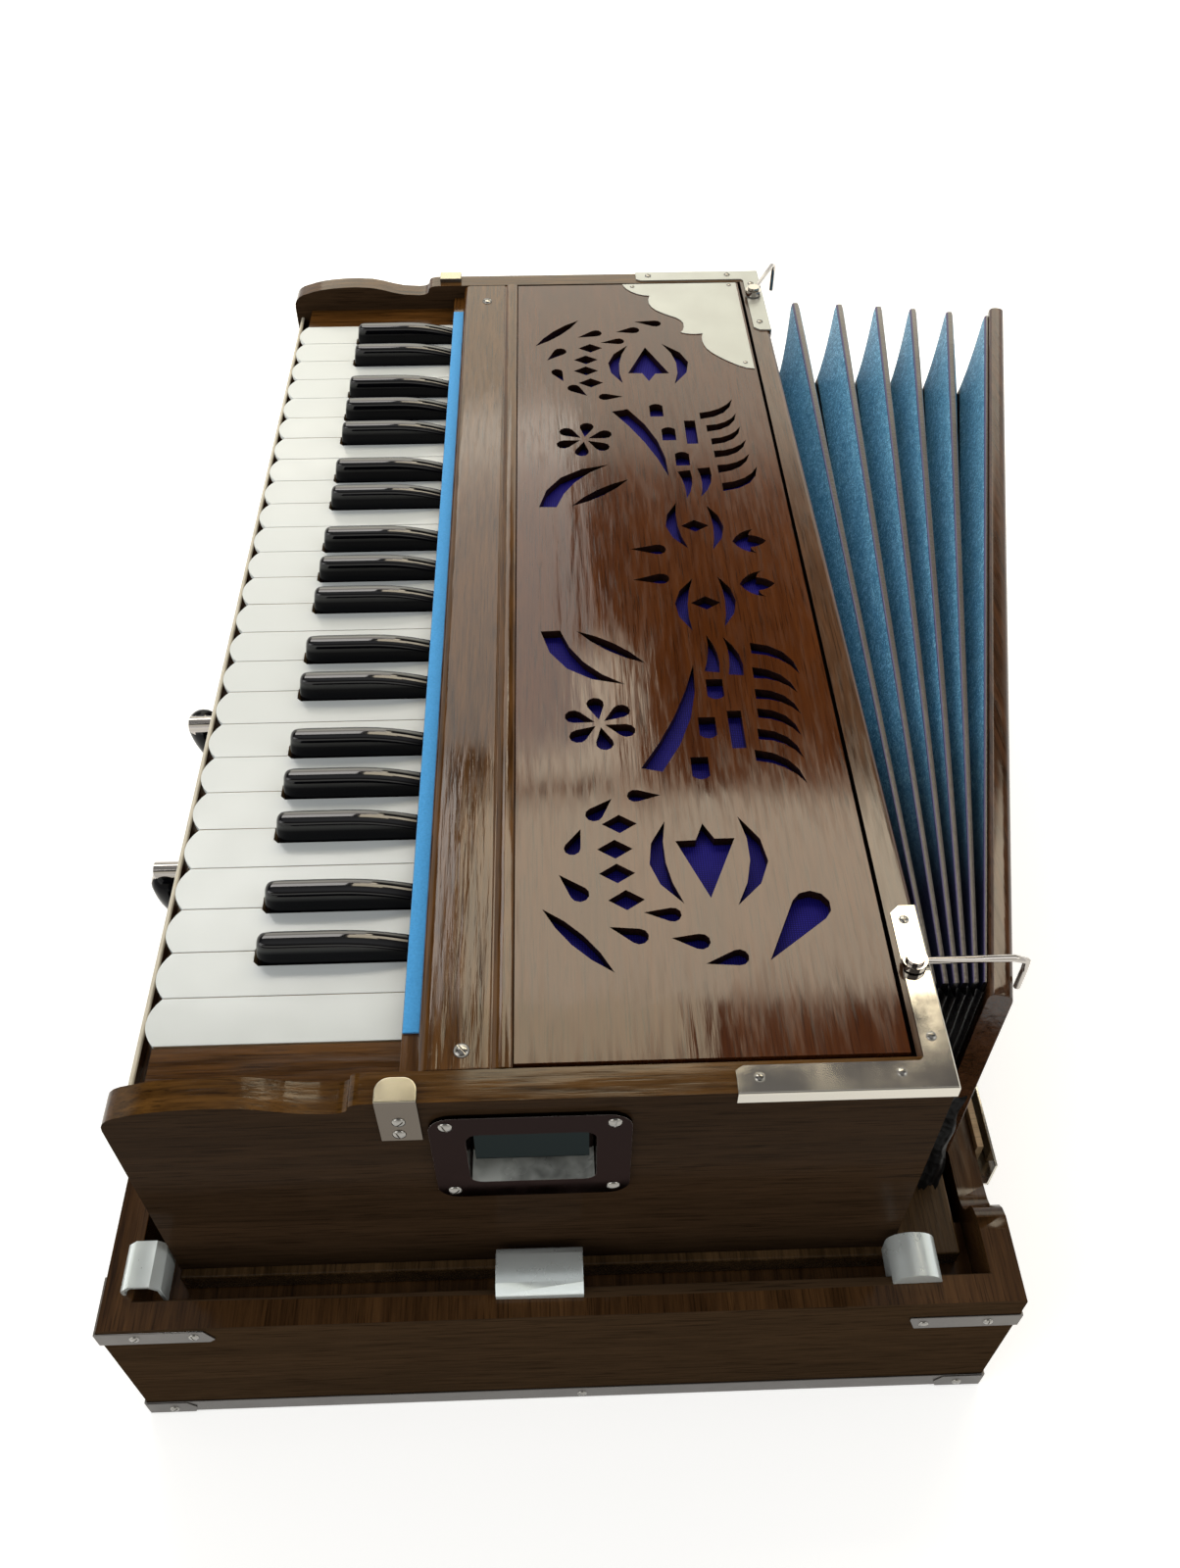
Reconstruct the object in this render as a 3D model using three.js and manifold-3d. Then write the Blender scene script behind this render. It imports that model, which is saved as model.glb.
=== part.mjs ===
// Indian hand harmonium in its travel tray: 42 keys, cut-work top and book bellows.
// Millimetres, +Z up. X runs along the keyboard from the bass end (far) to the treble end (near),
// Y from the player (front) to the bellows (back). The origin is the middle of the tray's underside.
import * as THREE from 'three';
import { mergeVertices } from 'three/addons/utils/BufferGeometryUtils.js';
import Module from 'manifold-3d';

const wasm = await Module();
wasm.setup();

// Fits
const seatGap = 0.3;            // between pieces that rest on or beside each other
const overrun = 2;              // how far a cut runs past a face

// Keyboard
const whiteCount = 25;
const whitePitch = 22;
const keyGap = 0.8;             // between neighbouring white keys
const whiteVisible = 97;        // from the scallop roots to the felt ledge
const scallopDepth = 4.6;       // how far a white front swells past its corners
const plateThickness = 3;
const plateOverhang = 3;        // plate past the wooden front of a key
const headThickness = 12;       // plate and wood together
const slotHalf = 5.5;           // half of the slot that a black key works in
const slotCorner = 2;
const blackFront = 34.5;        // scallop roots to the front of a black key
const blackBase = 9.5;
const blackTop = 8.2;
const blackRise = 11;           // above the white keys
const blackRearRise = 5;        // at the felt ledge
const blackShoulder = 42;       // flat part of a black key's top
const blackSweep = 7;           // how far the top stays high past its flat part
const blackEase = 2;            // rounding of a black key's edges
const blackNose = 3.6;          // rounding of a black key's front, seen from above
const pairOffset = 2.2;         // C sharp and D sharp lean apart by this much
const tripleOffset = 3.45;      // so do F sharp and A sharp

// Key levers and pallets
const tailWidth = 9;
const tailThickness = 8;
const tailLap = 2;              // tail overlaps the head it grows out of
const tailDrop = 6.3;           // white key top to the top of the tail
const balanceBack = 14;         // back of the key heads to the balance pins
const palletLength = 50;
const palletWidth = 10;
const palletThickness = 6;
const palletBack = 60;          // balance pins to the front of the pallets
const pinSide = 2.4;
const pinSlack = 0.7;
const railWidth = 7;            // balance rail

// Case
const wall = 13;                // case and tray boards
const blockWidth = 23;          // wooden block at each end of the keyboard
const blockDrop = 0.6;          // below the white keys
const caseHeight = 140.7;
const topDrop = 15.7;           // top of the case above the white keys
const lipSet = 2.8;             // front board behind the ends of the cheeks
const lipThickness = 2.2;
const lipRise = 7;
const lipDrop = 5.3;            // top of the front lip below the white keys
const tipGap = 1.5;             // lip to the scallop tips
const backWall = 12.4;
const noseRadius = 10;          // front corner of a cheek
const noseDrop = 4;             // cheek's front shoulder below the full height
const armHump = 43;             // front face to the hump of a cheek
const armDipReach = 84;
const armDip = 6.2;
const armStepReach = 98;        // front face to the foot of the full height
const railRound = 3;            // top rear edge
const cleatWidth = 10;
const cleatHeight = 10;
const airHole = 15;             // radius of the ports behind the bellows
const airHoleCount = 4;
const airHolePitch = 90;
const airHoleHeight = 45;       // above the foot of the case

// Reed board
const reedBoardThickness = 12;
const reedSlotWidth = 6;
const reedSlotLength = 36;
const reedPlateWidth = 8;
const reedPlateLength = 42;
const reedPlateThickness = 3;

// Top strip, cut-work panel and its cloth
const ledgeDepth = 7;           // felt ledge in front of the top strip
const ledgeThickness = 1.5;
const ledgeLift = 5.6;          // ledge above the white keys
const stripDepth = 28;
const stripRound = 5;
const beadDepth = 8;
const beadRise = 0.8;
const rebate = 8;               // lip that carries the panel's front edge
const panelDepth = 147.6;
const panelThickness = 4.5;
const panelGap = 0.4;           // bead to the panel
const panelGroove = 1.9;        // dark groove round the other edges of the panel
const clothThickness = 0.8;

// Tray
const endGap = 18.5;            // case to the tray's end walls
const frontGap = 14;
const backGap = 36.6;
const trayHeight = 98.7;
const trayFloor = 10;
const ledgerWidth = 34;
const ledgerTop = 72.7;         // the base board rests on it
const backCut = 20;             // the back wall is cut down by this much for the bellows
const cutInset = 61.5;          // ends of the cut from the tray's ends
const cutOgee = 30;

// Metal guides on the tray's rim that lead the case in, alike at both ends
const guideSheet = 1.6;
const guideRise = 8;            // above the rim
const guideLap = 4.5;           // over the rim
const guideReach = 15.5;        // past the inner face of the wall
const guideDrop = 10;           // inner leg below the rim
const sideGuideWidth = 37;
const sideGuideShift = 0.8;     // behind the middle of the case
const frontGuideWidth = 20;
const frontGuideInset = 2.5;    // from the end wall
const frontGuideReach = 12.4;
const rearGuideWidth = 21;
const rearGuideInset = 32;      // from the back wall to its middle

// Base board under the case and the bellows
const baseThickness = 12;
const baseProud = 4;            // past the ends of the case
const baseTail = 30;            // past the back of the case

// Bellows
const boardThickness = 10;
const boardLength = 555;
const boardHeel = 4.4;          // board past its hinge line
const boardTopDrop = 8;         // below the top of the case
const boardFootGap = 3;         // above the base board
const boardRound = 4;
const hingeInset = 49;          // hinge line from the near end of the case
const closedStack = 25;         // folds pressed flat
const openAngle = 13.5;         // degrees, as it stands
const pleatDepth = 38;
const nearPleatShare = 0.25;    // pleats at the near end, as a share of the others
const ridgeCorner = 5;          // cut corners of the folds
const ridgeInset = 3;           // ridges inside the board's edges
const pleatWall = 0.7;          // card and cloth
const pleatSteps = 3;
const ridgeShares = [0.16, 0.35, 0.52, 0.67, 0.83];
const intakeHole = 9;
const intakeCount = 5;
const intakePitch = 34;

// Hooks on the back rail
const wire = 3;
const hookReach = 45;
const hookDrop = 20;
const hookBend = 4;
const hookLift = 1.6;           // eye above the rail
const hookInset = 53.4;         // near pivot from the end of the case
const farHookInset = 33;
const hookBack = 5.8;           // pivot from the back face of the case
const farHookPark = 65;         // degrees
const pivotRadius = 1.7;
const pivotHead = 3.8;
const pivotHeadHeight = 1.6;
const pivotSlack = 0.4;
const hookSteps = 10;

// Stop knobs on the front board: a spindle with a drop hanging at its side
const stopPlaces = [51.3, 149.7];   // along the keyboard
const stopTurns = [43, -10];    // degrees that each drop leans from straight down
const stopDrop = 47;            // below the white keys
const spindleRadius = 4.3;
const spindleLength = 81;
const stopStand = 25;           // spindle past the front board
const stopSlack = 0.6;
const dropRadius = 8.3;
const dropLength = 27;          // middle of the drop's ball to its tip
const dropTip = 1.6;
const dropHang = 7;             // spindle's axis to the middle of the ball
const dropInset = 5;            // end of the spindle to the middle of the ball
const dropSteps = 5;

// Handles let into the cheeks
const handleReach = 157;        // front face to the middle of the handle
const handleDrop = 41.7;        // top of the case to the middle of the handle
const flangeWidth = 76;
const flangeHeight = 64;
const flangeCorner = 9;
const flangeThickness = 1.5;
const dishWidth = 52;
const dishHeight = 41;
const dishDepth = 12.2;
const dishWall = 1.3;
const gripThickness = 5;
const gripWidth = 44;
const gripLength = 21;
const gripPivotDrop = 6;        // inside top of the dish to the pivot
const gripPivotDepth = 6;       // flange face to the pivot
const gripBore = 1.2;
const gripBoreDepth = 4;
const gripBead = 3.2;           // round lower edge of the grip
const dishCorner = 5;

// Sizes that follow
const keyboardLength = whiteCount * whitePitch;
const innerHalf = keyboardLength / 2 + blockWidth;
const caseHalf = innerHalf + wall;
const trayInnerHalf = caseHalf + endGap;
const trayHalf = trayInnerHalf + wall;
const keyBack = whiteVisible + ledgeDepth;
const caseDepth = lipSet + lipThickness + tipGap + scallopDepth + keyBack + stripDepth + beadDepth
  + panelGap + panelDepth + panelGroove + backWall;
const trayDepth = wall + frontGap + caseDepth + backGap + wall;
const trayFront = -trayDepth / 2;
const trayBack = trayDepth / 2;
const caseFront = trayFront + wall + frontGap;
const caseBack = caseFront + caseDepth;
const boardFront = caseFront + lipSet;
const keyRoot = boardFront + lipThickness + tipGap + scallopDepth;
const stripFront = keyRoot + keyBack;
const panelHalf = innerHalf - panelGroove;
const beadBack = stripFront + stripDepth + beadDepth;
const panelFront = beadBack + panelGap;
const innerBack = caseBack - backWall;
const baseFoot = ledgerTop + seatGap;
const baseTop = baseFoot + baseThickness;
const caseFoot = baseTop + seatGap;
const caseTop = caseFoot + caseHeight;
const keyTop = caseTop - topDrop;
const tailTop = keyTop - tailDrop;
const tailFoot = tailTop - tailThickness;
const reedTop = tailFoot - palletThickness - seatGap;
const reedFoot = reedTop - reedBoardThickness;
const ledgeFoot = keyTop + ledgeLift;
const panelFoot = caseTop - panelThickness;
const cleatTop = panelFoot - seatGap;
const balanceReach = keyBack + balanceBack;
const palletReach = balanceReach + palletBack;
const tailEnd = palletReach + palletLength;
const hingeX = caseHalf - hingeInset;
const hingeY = caseBack + closedStack;
const fan = THREE.MathUtils.degToRad(openAngle);
const boardFoot = baseTop + boardFootGap;
const boardTop = caseTop - boardTopDrop;
const handleY = caseFront + handleReach;
const handleZ = caseTop - handleDrop;

// Finishes
const walnut = { color: 0x3a2114, roughness: 0.3, metalness: 0 };
const rosewood = { color: 0x4a2a18, roughness: 0.25, metalness: 0 };
const plainWood = { color: 0xa88658, roughness: 0.7, metalness: 0 };
const ivory = { color: 0xe6e4de, roughness: 0.18, metalness: 0 };
const ebony = { color: 0x0d0d0f, roughness: 0.12, metalness: 0 };
const chrome = { color: 0xc9c9c6, roughness: 0.15, metalness: 1 };
const indigo = { color: 0x2c2a78, roughness: 0.9, metalness: 0 };
const teal = { color: 0x1f6f86, roughness: 0.55, metalness: 0 };

// Closed triangle mesh to solid
function solid(geometry) {
  const bare = geometry.index ? geometry.clone() : geometry;
  bare.deleteAttribute('normal');
  bare.deleteAttribute('uv');
  const merged = mergeVertices(bare, 1e-4);
  return new wasm.Manifold(new wasm.Mesh({
    numProp: 3,
    vertProperties: new Float32Array(merged.attributes.position.array),
    triVerts: new Uint32Array(merged.index.array),
  }));
}

// Board or block between two corners
function block(x0, x1, y0, y1, z0, z1) {
  const box = new THREE.BoxGeometry(x1 - x0, y1 - y0, z1 - z0);
  box.translate((x0 + x1) / 2, (y0 + y1) / 2, (z0 + z1) / 2);
  return solid(box);
}

function extruded(shape, depth, curveSegments) {
  return new THREE.ExtrudeGeometry(shape, { depth, bevelEnabled: false, curveSegments });
}

// Outline in Y and Z, run along X
function alongX(shape, x0, x1, curveSegments = 4) {
  const made = extruded(shape, x1 - x0, curveSegments);
  const turn = new THREE.Matrix4().makeBasis(
    new THREE.Vector3(0, 1, 0), new THREE.Vector3(0, 0, 1), new THREE.Vector3(1, 0, 0));
  return solid(made.applyMatrix4(turn).translate(x0, 0, 0));
}

// Outline in X and Z, run along Y
function alongY(shape, y0, y1, curveSegments = 4) {
  const made = extruded(shape, y1 - y0, curveSegments);
  const turn = new THREE.Matrix4().makeBasis(
    new THREE.Vector3(1, 0, 0), new THREE.Vector3(0, 0, 1), new THREE.Vector3(0, -1, 0));
  return solid(made.applyMatrix4(turn).translate(0, y1, 0));
}

// Outline in X and Y, run up Z
function alongZ(shape, z0, z1, curveSegments = 4) {
  return solid(extruded(shape, z1 - z0, curveSegments).translate(0, 0, z0));
}

function polygon(points) {
  return new THREE.Shape(points.map(([x, y]) => new THREE.Vector2(x, y)));
}

// Round bar along Y from y0 to y1
function rodY(x, z, radius, y0, y1, sides = 12) {
  const rod = new THREE.CylinderGeometry(radius, radius, y1 - y0, sides);
  return solid(rod.translate(x, (y0 + y1) / 2, z));
}

// Round bar along Z from z0 to z1
function rodZ(x, y, radius, z0, z1, sides = 12) {
  const rod = new THREE.CylinderGeometry(radius, radius, z1 - z0, sides);
  rod.rotateX(Math.PI / 2);
  return solid(rod.translate(x, y, (z0 + z1) / 2));
}

function joined(first, ...rest) {
  return rest.reduce((whole, piece) => whole.add(piece), first);
}

function cut(first, ...rest) {
  return rest.reduce((whole, piece) => whole.subtract(piece), first);
}

function mesh(name, manifold, finish) {
  const { vertProperties, triVerts } = manifold.getMesh();
  const geometry = new THREE.BufferGeometry();
  geometry.setAttribute('position', new THREE.BufferAttribute(new Float32Array(vertProperties), 3));
  geometry.setIndex(new THREE.BufferAttribute(new Uint32Array(triVerts), 1));
  geometry.computeVertexNormals();
  const made = new THREE.Mesh(geometry, new THREE.MeshStandardMaterial(finish));
  made.name = name;
  return made;
}

// Tray: four walls and a floor, ledgers for the base board, the back wall cut down for the bellows
function trayBackCut() {
  const half = trayHalf - cutInset;
  const low = trayHeight - backCut;
  const mid = trayHeight - backCut / 2;
  const cutOut = new THREE.Shape();
  cutOut.moveTo(-half - cutOgee, trayHeight);
  cutOut.quadraticCurveTo(-half - cutOgee / 2, trayHeight, -half - cutOgee / 2, mid);
  cutOut.quadraticCurveTo(-half - cutOgee / 2, low, -half, low);
  cutOut.lineTo(half, low);
  cutOut.quadraticCurveTo(half + cutOgee / 2, low, half + cutOgee / 2, mid);
  cutOut.quadraticCurveTo(half + cutOgee / 2, trayHeight, half + cutOgee, trayHeight);
  cutOut.lineTo(half + cutOgee, trayHeight + overrun);
  cutOut.lineTo(-half - cutOgee, trayHeight + overrun);
  return alongY(cutOut, trayBack - wall - overrun, trayBack + overrun);
}

// Sheet bent over a wall of the tray and down inside it, seen along the wall
function bentSheet(outer, inner) {
  const top = trayHeight + guideRise;
  const shoulder = guideRise / 2;
  const s = guideSheet;
  return polygon([
    [outer, trayHeight - overrun],
    [outer, top - shoulder],
    [outer - shoulder, top],
    [inner + shoulder, top],
    [inner, top - shoulder],
    [inner, trayHeight - guideDrop],
    [inner + s, trayHeight - guideDrop],
    [inner + s, top - shoulder - s / 2],
    [inner + shoulder + s / 2, top - s],
    [outer - shoulder - s / 2, top - s],
    [outer - s, top - shoulder - s / 2],
    [outer - s, trayHeight - overrun],
  ]);
}

// Guides of the near end: two bent sheets and a quarter round at the back
function trayGuides() {
  const outer = trayInnerHalf + guideLap;
  const inner = trayInnerHalf - guideReach;
  const sideY = (caseFront + caseBack) / 2 + sideGuideShift;
  const side = alongY(bentSheet(outer, inner), sideY - sideGuideWidth / 2, sideY + sideGuideWidth / 2);
  const wallIn = -trayFront - wall;
  const frontX = trayInnerHalf - frontGuideInset;
  const front = alongY(bentSheet(wallIn + guideLap, wallIn - frontGuideReach), frontX - frontGuideWidth, frontX)
    .rotate([0, 0, -90]);
  const rearY = trayBack - wall - rearGuideInset;
  const half = rearGuideWidth / 2;
  const dee = new THREE.Shape();
  dee.moveTo(rearY + half, trayHeight);
  dee.absellipse(rearY, trayHeight, half, guideRise, 0, Math.PI, false, 0);
  dee.lineTo(rearY - half, trayHeight - guideDrop);
  dee.lineTo(rearY + half, trayHeight - guideDrop);
  return joined(side, front, alongX(dee, inner, outer - guideLap / 4, 6));
}

function baseTray() {
  const outside = block(-trayHalf, trayHalf, trayFront, trayBack, 0, trayHeight);
  const inside = block(-trayInnerHalf, trayInnerHalf, trayFront + wall, trayBack - wall,
    trayFloor, trayHeight + overrun);
  const ledgers = [-1, 1].map((side) => {
    const a = side * (trayInnerHalf + overrun);
    const b = side * (trayInnerHalf - ledgerWidth);
    return block(Math.min(a, b), Math.max(a, b), trayFront + wall - overrun,
      trayBack - wall + overrun, trayFloor - overrun, ledgerTop);
  });
  const guides = trayGuides();
  return joined(cut(outside, inside, trayBackCut()), ...ledgers, guides, guides.mirror([1, 0, 0]));
}

function baseBoard() {
  return block(-caseHalf - baseProud, caseHalf + baseProud, caseFront, caseBack + baseTail,
    baseFoot, baseTop);
}

// Cheek, seen from the end: full height at the back, a low wave beside the keys, a rounded nose
function cheekOutline() {
  const nose = caseTop - noseDrop;
  const low = caseTop - armDip;
  const stepFoot = (armDipReach + armStepReach) / 2;
  const side = new THREE.Shape();
  side.moveTo(caseBack, caseFoot);
  side.lineTo(caseBack, caseTop - railRound);
  side.quadraticCurveTo(caseBack, caseTop, caseBack - railRound, caseTop);
  side.lineTo(caseFront + armStepReach, caseTop);
  side.quadraticCurveTo(caseFront + stepFoot, caseTop, caseFront + stepFoot, (caseTop + low) / 2);
  side.quadraticCurveTo(caseFront + stepFoot, low, caseFront + armDipReach, low);
  side.bezierCurveTo(caseFront + armDipReach - noseRadius * 2, low,
    caseFront + armHump + noseRadius * 2, caseTop, caseFront + armHump, caseTop);
  side.quadraticCurveTo(caseFront + armHump / 2, caseTop, caseFront + noseRadius, nose);
  side.quadraticCurveTo(caseFront, nose - noseDrop / 2, caseFront, nose - noseRadius);
  side.lineTo(caseFront, caseFoot);
  return side;
}

// Front board with its thin rounded lip before the key fronts
function frontBoardOutline() {
  const lipTop = keyTop - lipDrop;
  const shoulder = lipTop - lipRise;
  const face = new THREE.Shape();
  face.moveTo(boardFront, caseFoot);
  face.lineTo(caseFront + wall, caseFoot);
  face.lineTo(caseFront + wall, shoulder);
  face.lineTo(boardFront + lipThickness, shoulder);
  face.lineTo(boardFront + lipThickness, lipTop - lipThickness / 2);
  face.absarc(boardFront + lipThickness / 2, lipTop - lipThickness / 2, lipThickness / 2, 0, Math.PI, false);
  return face;
}

// What the near end of the case carries inside: key block, strip support and cleats
function caseEnd() {
  const inner = innerHalf - blockWidth + keyGap / 2;
  const outer = innerHalf + overrun;
  const cleat = innerHalf - cleatWidth;
  const frontIn = caseFront + wall - overrun;
  const backIn = innerBack + overrun;
  const reedCleat = reedFoot - seatGap;
  return joined(
    block(inner, outer, frontIn, stripFront, reedTop + seatGap, keyTop - blockDrop),
    block(inner, outer, stripFront - overrun, beadBack, reedTop + seatGap, ledgeFoot - seatGap),
    block(cleat, outer, frontIn, backIn, reedCleat - cleatHeight, reedCleat),
    block(cleat, outer, beadBack + rebate + seatGap, backIn, cleatTop - cleatHeight, cleatTop),
  );
}

// Post with a foot under the hook's eye and a head over it
function hookPost(x) {
  const y = caseBack - hookBack;
  const eyeFoot = caseTop + hookLift;
  const headFoot = eyeFoot + wire + seatGap;
  return joined(
    rodZ(x, y, pivotRadius, caseTop - overrun, headFoot + pivotHeadHeight, 8),
    rodZ(x, y, pivotHead, caseTop - overrun, eyeFoot - seatGap, 12),
    rodZ(x, y, pivotHead, headFoot, headFoot + pivotHeadHeight, 12),
  );
}

// Back board with its top edge rounded
function backBoardOutline() {
  const back = new THREE.Shape();
  back.moveTo(innerBack, caseFoot);
  back.lineTo(caseBack, caseFoot);
  back.lineTo(caseBack, caseTop - railRound);
  back.quadraticCurveTo(caseBack, caseTop, caseBack - railRound, caseTop);
  back.lineTo(innerBack, caseTop);
  return back;
}

function handleOpening(side) {
  const y0 = handleY - dishWidth / 2 - seatGap;
  const y1 = handleY + dishWidth / 2 + seatGap;
  const z0 = handleZ - dishHeight / 2 - seatGap;
  const z1 = handleZ + dishHeight / 2 + seatGap;
  const a = side * (innerHalf - overrun);
  const b = side * (caseHalf + overrun);
  return block(Math.min(a, b), Math.max(a, b), y0, y1, z0, z1);
}

function caseShell() {
  const cheek = alongX(cheekOutline(), innerHalf, caseHalf, 5);
  const front = alongX(frontBoardOutline(), -innerHalf - overrun, innerHalf + overrun, 5);
  const back = alongX(backBoardOutline(), -innerHalf - overrun, innerHalf + overrun, 5);
  const backCleat = block(-innerHalf, innerHalf, innerBack - cleatWidth, innerBack + overrun,
    cleatTop - cleatHeight, cleatTop);
  const inside = caseEnd();
  const body = joined(cheek, cheek.mirror([1, 0, 0]), front, back, backCleat, inside,
    inside.mirror([1, 0, 0]), hookPost(caseHalf - hookInset), hookPost(farHookInset - caseHalf));
  const ports = Array.from({ length: airHoleCount }, (_, i) => {
    const x = (i - (airHoleCount - 1) / 2) * airHolePitch;
    return rodY(x, caseFoot + airHoleHeight, airHole, innerBack - overrun, caseBack + overrun, 16);
  });
  const stopHoles = stopPlaces.map((x) => rodY(x, keyTop - stopDrop, spindleRadius + stopSlack,
    caseFront - overrun, caseFront + wall + overrun));
  return cut(body, ...ports, ...stopHoles, handleOpening(1), handleOpening(-1));
}

// Keys: where each white and black key stands along the board
const octave = [
  { sharp: -pairOffset },
  { sharp: pairOffset },
  {},
  { sharp: -tripleOffset },
  { sharp: 0 },
  { sharp: tripleOffset },
  {},
];

// Each key's x is the middle of its lever, and a white key's sides are counted from there
function keyPlan() {
  const plan = { whites: [], blacks: [] };
  for (let i = 0; i < whiteCount; i += 1) {
    const left = i * whitePitch - keyboardLength / 2;
    const right = left + whitePitch;
    const before = i > 0 ? octave[(i - 1) % octave.length].sharp : undefined;
    const after = i < whiteCount - 1 ? octave[i % octave.length].sharp : undefined;
    const neckLeft = before === undefined ? left + keyGap / 2 : left + before + slotHalf;
    const neckRight = after === undefined ? right - keyGap / 2 : right + after - slotHalf;
    const x = (neckLeft + neckRight) / 2;
    plan.whites.push({
      x,
      left: left + keyGap / 2 - x,
      right: right - keyGap / 2 - x,
      neck: (neckRight - neckLeft) / 2,
      notchLeft: before !== undefined,
      notchRight: after !== undefined,
    });
    if (after !== undefined) plan.blacks.push({ x: right + after });
  }
  return plan;
}

// White key from above, y = 0 at the corners of its scalloped front
function whiteOutline({ left, right, neck, notchLeft, notchRight }, front) {
  const notch = blackFront - keyGap;
  const shape = new THREE.Shape();
  if (front === 0) {
    const middle = (left + right) / 2;
    shape.moveTo(left, 0);
    shape.quadraticCurveTo((left + middle) / 2, -scallopDepth, middle, -scallopDepth);
    shape.quadraticCurveTo((right + middle) / 2, -scallopDepth, right, 0);
  } else {
    shape.moveTo(left, front);
    shape.lineTo(right, front);
  }
  if (notchRight) {
    shape.lineTo(right, notch);
    shape.lineTo(neck + slotCorner, notch);
    shape.lineTo(neck, notch + slotCorner);
  }
  shape.lineTo(neck, keyBack);
  shape.lineTo(-neck, keyBack);
  if (notchLeft) {
    shape.lineTo(-neck, notch + slotCorner);
    shape.lineTo(-neck - slotCorner, notch);
    shape.lineTo(left, notch);
  }
  return shape;
}

// Lever behind a key: tail on the balance pin, pallet over its reed slot
function keyTail() {
  const half = tailWidth / 2;
  const hole = pinSide / 2 + pinSlack;
  const foot = -tailDrop - tailThickness;
  const tail = block(-half, half, keyBack - tailLap, tailEnd, foot, -tailDrop);
  const pallet = block(-palletWidth / 2, palletWidth / 2, palletReach, tailEnd,
    foot - palletThickness, foot + overrun);
  const bore = block(-hole, hole, balanceReach - hole, balanceReach + hole,
    foot - overrun, -tailDrop + overrun);
  return cut(joined(tail, pallet), bore);
}

// White key: glossy plate on a wooden head
function whiteKey(key) {
  const plate = alongZ(whiteOutline(key, 0), -plateThickness, 0, 4);
  const wood = alongZ(whiteOutline(key, plateOverhang), -headThickness, -plateThickness, 4);
  return joined(plate, wood, keyTail());
}

// Black key: its side, end and plan outlines meet in one rounded body
function blackKey() {
  const half = blackBase / 2;
  const topHalf = blackTop / 2;
  const e = blackEase;
  const shoulder = blackFront + blackShoulder;
  const side = new THREE.Shape();
  side.moveTo(blackFront, -headThickness);
  side.lineTo(keyBack, -headThickness);
  side.lineTo(keyBack, blackRearRise - e / 2);
  side.lineTo(whiteVisible, blackRearRise);
  side.quadraticCurveTo(shoulder + blackSweep, blackRise, shoulder, blackRise);
  side.lineTo(blackFront + blackNose, blackRise);
  side.quadraticCurveTo(blackFront + e / 2, blackRise, blackFront + e / 2, blackRise - e);
  side.lineTo(blackFront, 0);
  const end = polygon([
    [-half, -headThickness], [half, -headThickness], [half, 0],
    [topHalf, blackRise - e], [topHalf - e / 2, blackRise - e / 4], [topHalf - e, blackRise],
    [e - topHalf, blackRise], [e / 2 - topHalf, blackRise - e / 4], [-topHalf, blackRise - e],
    [-half, 0],
  ]);
  const plan = polygon([
    [-half, keyBack], [-half, blackFront + blackNose], [-half / 2, blackFront + blackNose / 4],
    [0, blackFront], [half / 2, blackFront + blackNose / 4], [half, blackFront + blackNose],
    [half, keyBack],
  ]);
  const cap = alongX(side, -half - overrun, half + overrun, 3)
    .intersect(alongY(end, blackFront - overrun, keyBack + overrun))
    .intersect(alongZ(plan, -headThickness - overrun, blackRise + overrun));
  return joined(cap, keyTail());
}

// Reed board: slots under the pallets, reed plates below them, balance rail with its pins above
function reedBoard({ whites, blacks }) {
  const tails = [...whites, ...blacks].map((key) => key.x);
  const half = innerHalf - seatGap;
  const balanceY = keyRoot + balanceReach;
  const slotY = keyRoot + palletReach + palletLength / 2;
  const board = block(-half, half, caseFront + wall + seatGap, innerBack - seatGap, reedFoot, reedTop);
  const rail = block(-keyboardLength / 2, keyboardLength / 2, balanceY - railWidth / 2,
    balanceY + railWidth / 2, reedTop - overrun, tailFoot - seatGap);
  const pins = tails.map((x) => block(x - pinSide / 2, x + pinSide / 2, balanceY - pinSide / 2,
    balanceY + pinSide / 2, reedTop, tailTop - seatGap));
  const plates = tails.map((x) => block(x - reedPlateWidth / 2, x + reedPlateWidth / 2,
    slotY - reedPlateLength / 2, slotY + reedPlateLength / 2,
    reedFoot - reedPlateThickness, reedFoot + overrun));
  const slots = tails.map((x) => block(x - reedSlotWidth / 2, x + reedSlotWidth / 2,
    slotY - reedSlotLength / 2, slotY + reedSlotLength / 2,
    reedFoot - reedPlateThickness - overrun, reedTop + overrun));
  return cut(joined(board, rail, ...pins, ...plates), ...slots);
}

// Top strip: felt ledge, rounded front, bead, and a lip for the panel, seen from the end
function topStrip() {
  const ledgeTop = ledgeFoot + ledgeThickness;
  const beadFront = beadBack - beadDepth;
  const section = new THREE.Shape();
  section.moveTo(stripFront - ledgeDepth, ledgeFoot);
  section.lineTo(beadBack + rebate, ledgeFoot);
  section.lineTo(beadBack + rebate, cleatTop);
  section.lineTo(beadBack, cleatTop);
  section.lineTo(beadBack, caseTop);
  section.quadraticCurveTo(beadBack - beadDepth / 4, caseTop + beadRise, beadBack - beadDepth / 2,
    caseTop + beadRise);
  section.quadraticCurveTo(beadFront + beadDepth / 4, caseTop + beadRise, beadFront, caseTop - beadRise);
  section.lineTo(beadFront - beadRise, caseTop);
  section.lineTo(stripFront + stripRound, caseTop);
  section.quadraticCurveTo(stripFront, caseTop, stripFront, caseTop - stripRound);
  section.lineTo(stripFront, ledgeTop);
  section.lineTo(stripFront - ledgeDepth, ledgeTop);
  return alongX(section, -innerHalf + seatGap, innerHalf - seatGap, 3);
}

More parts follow.
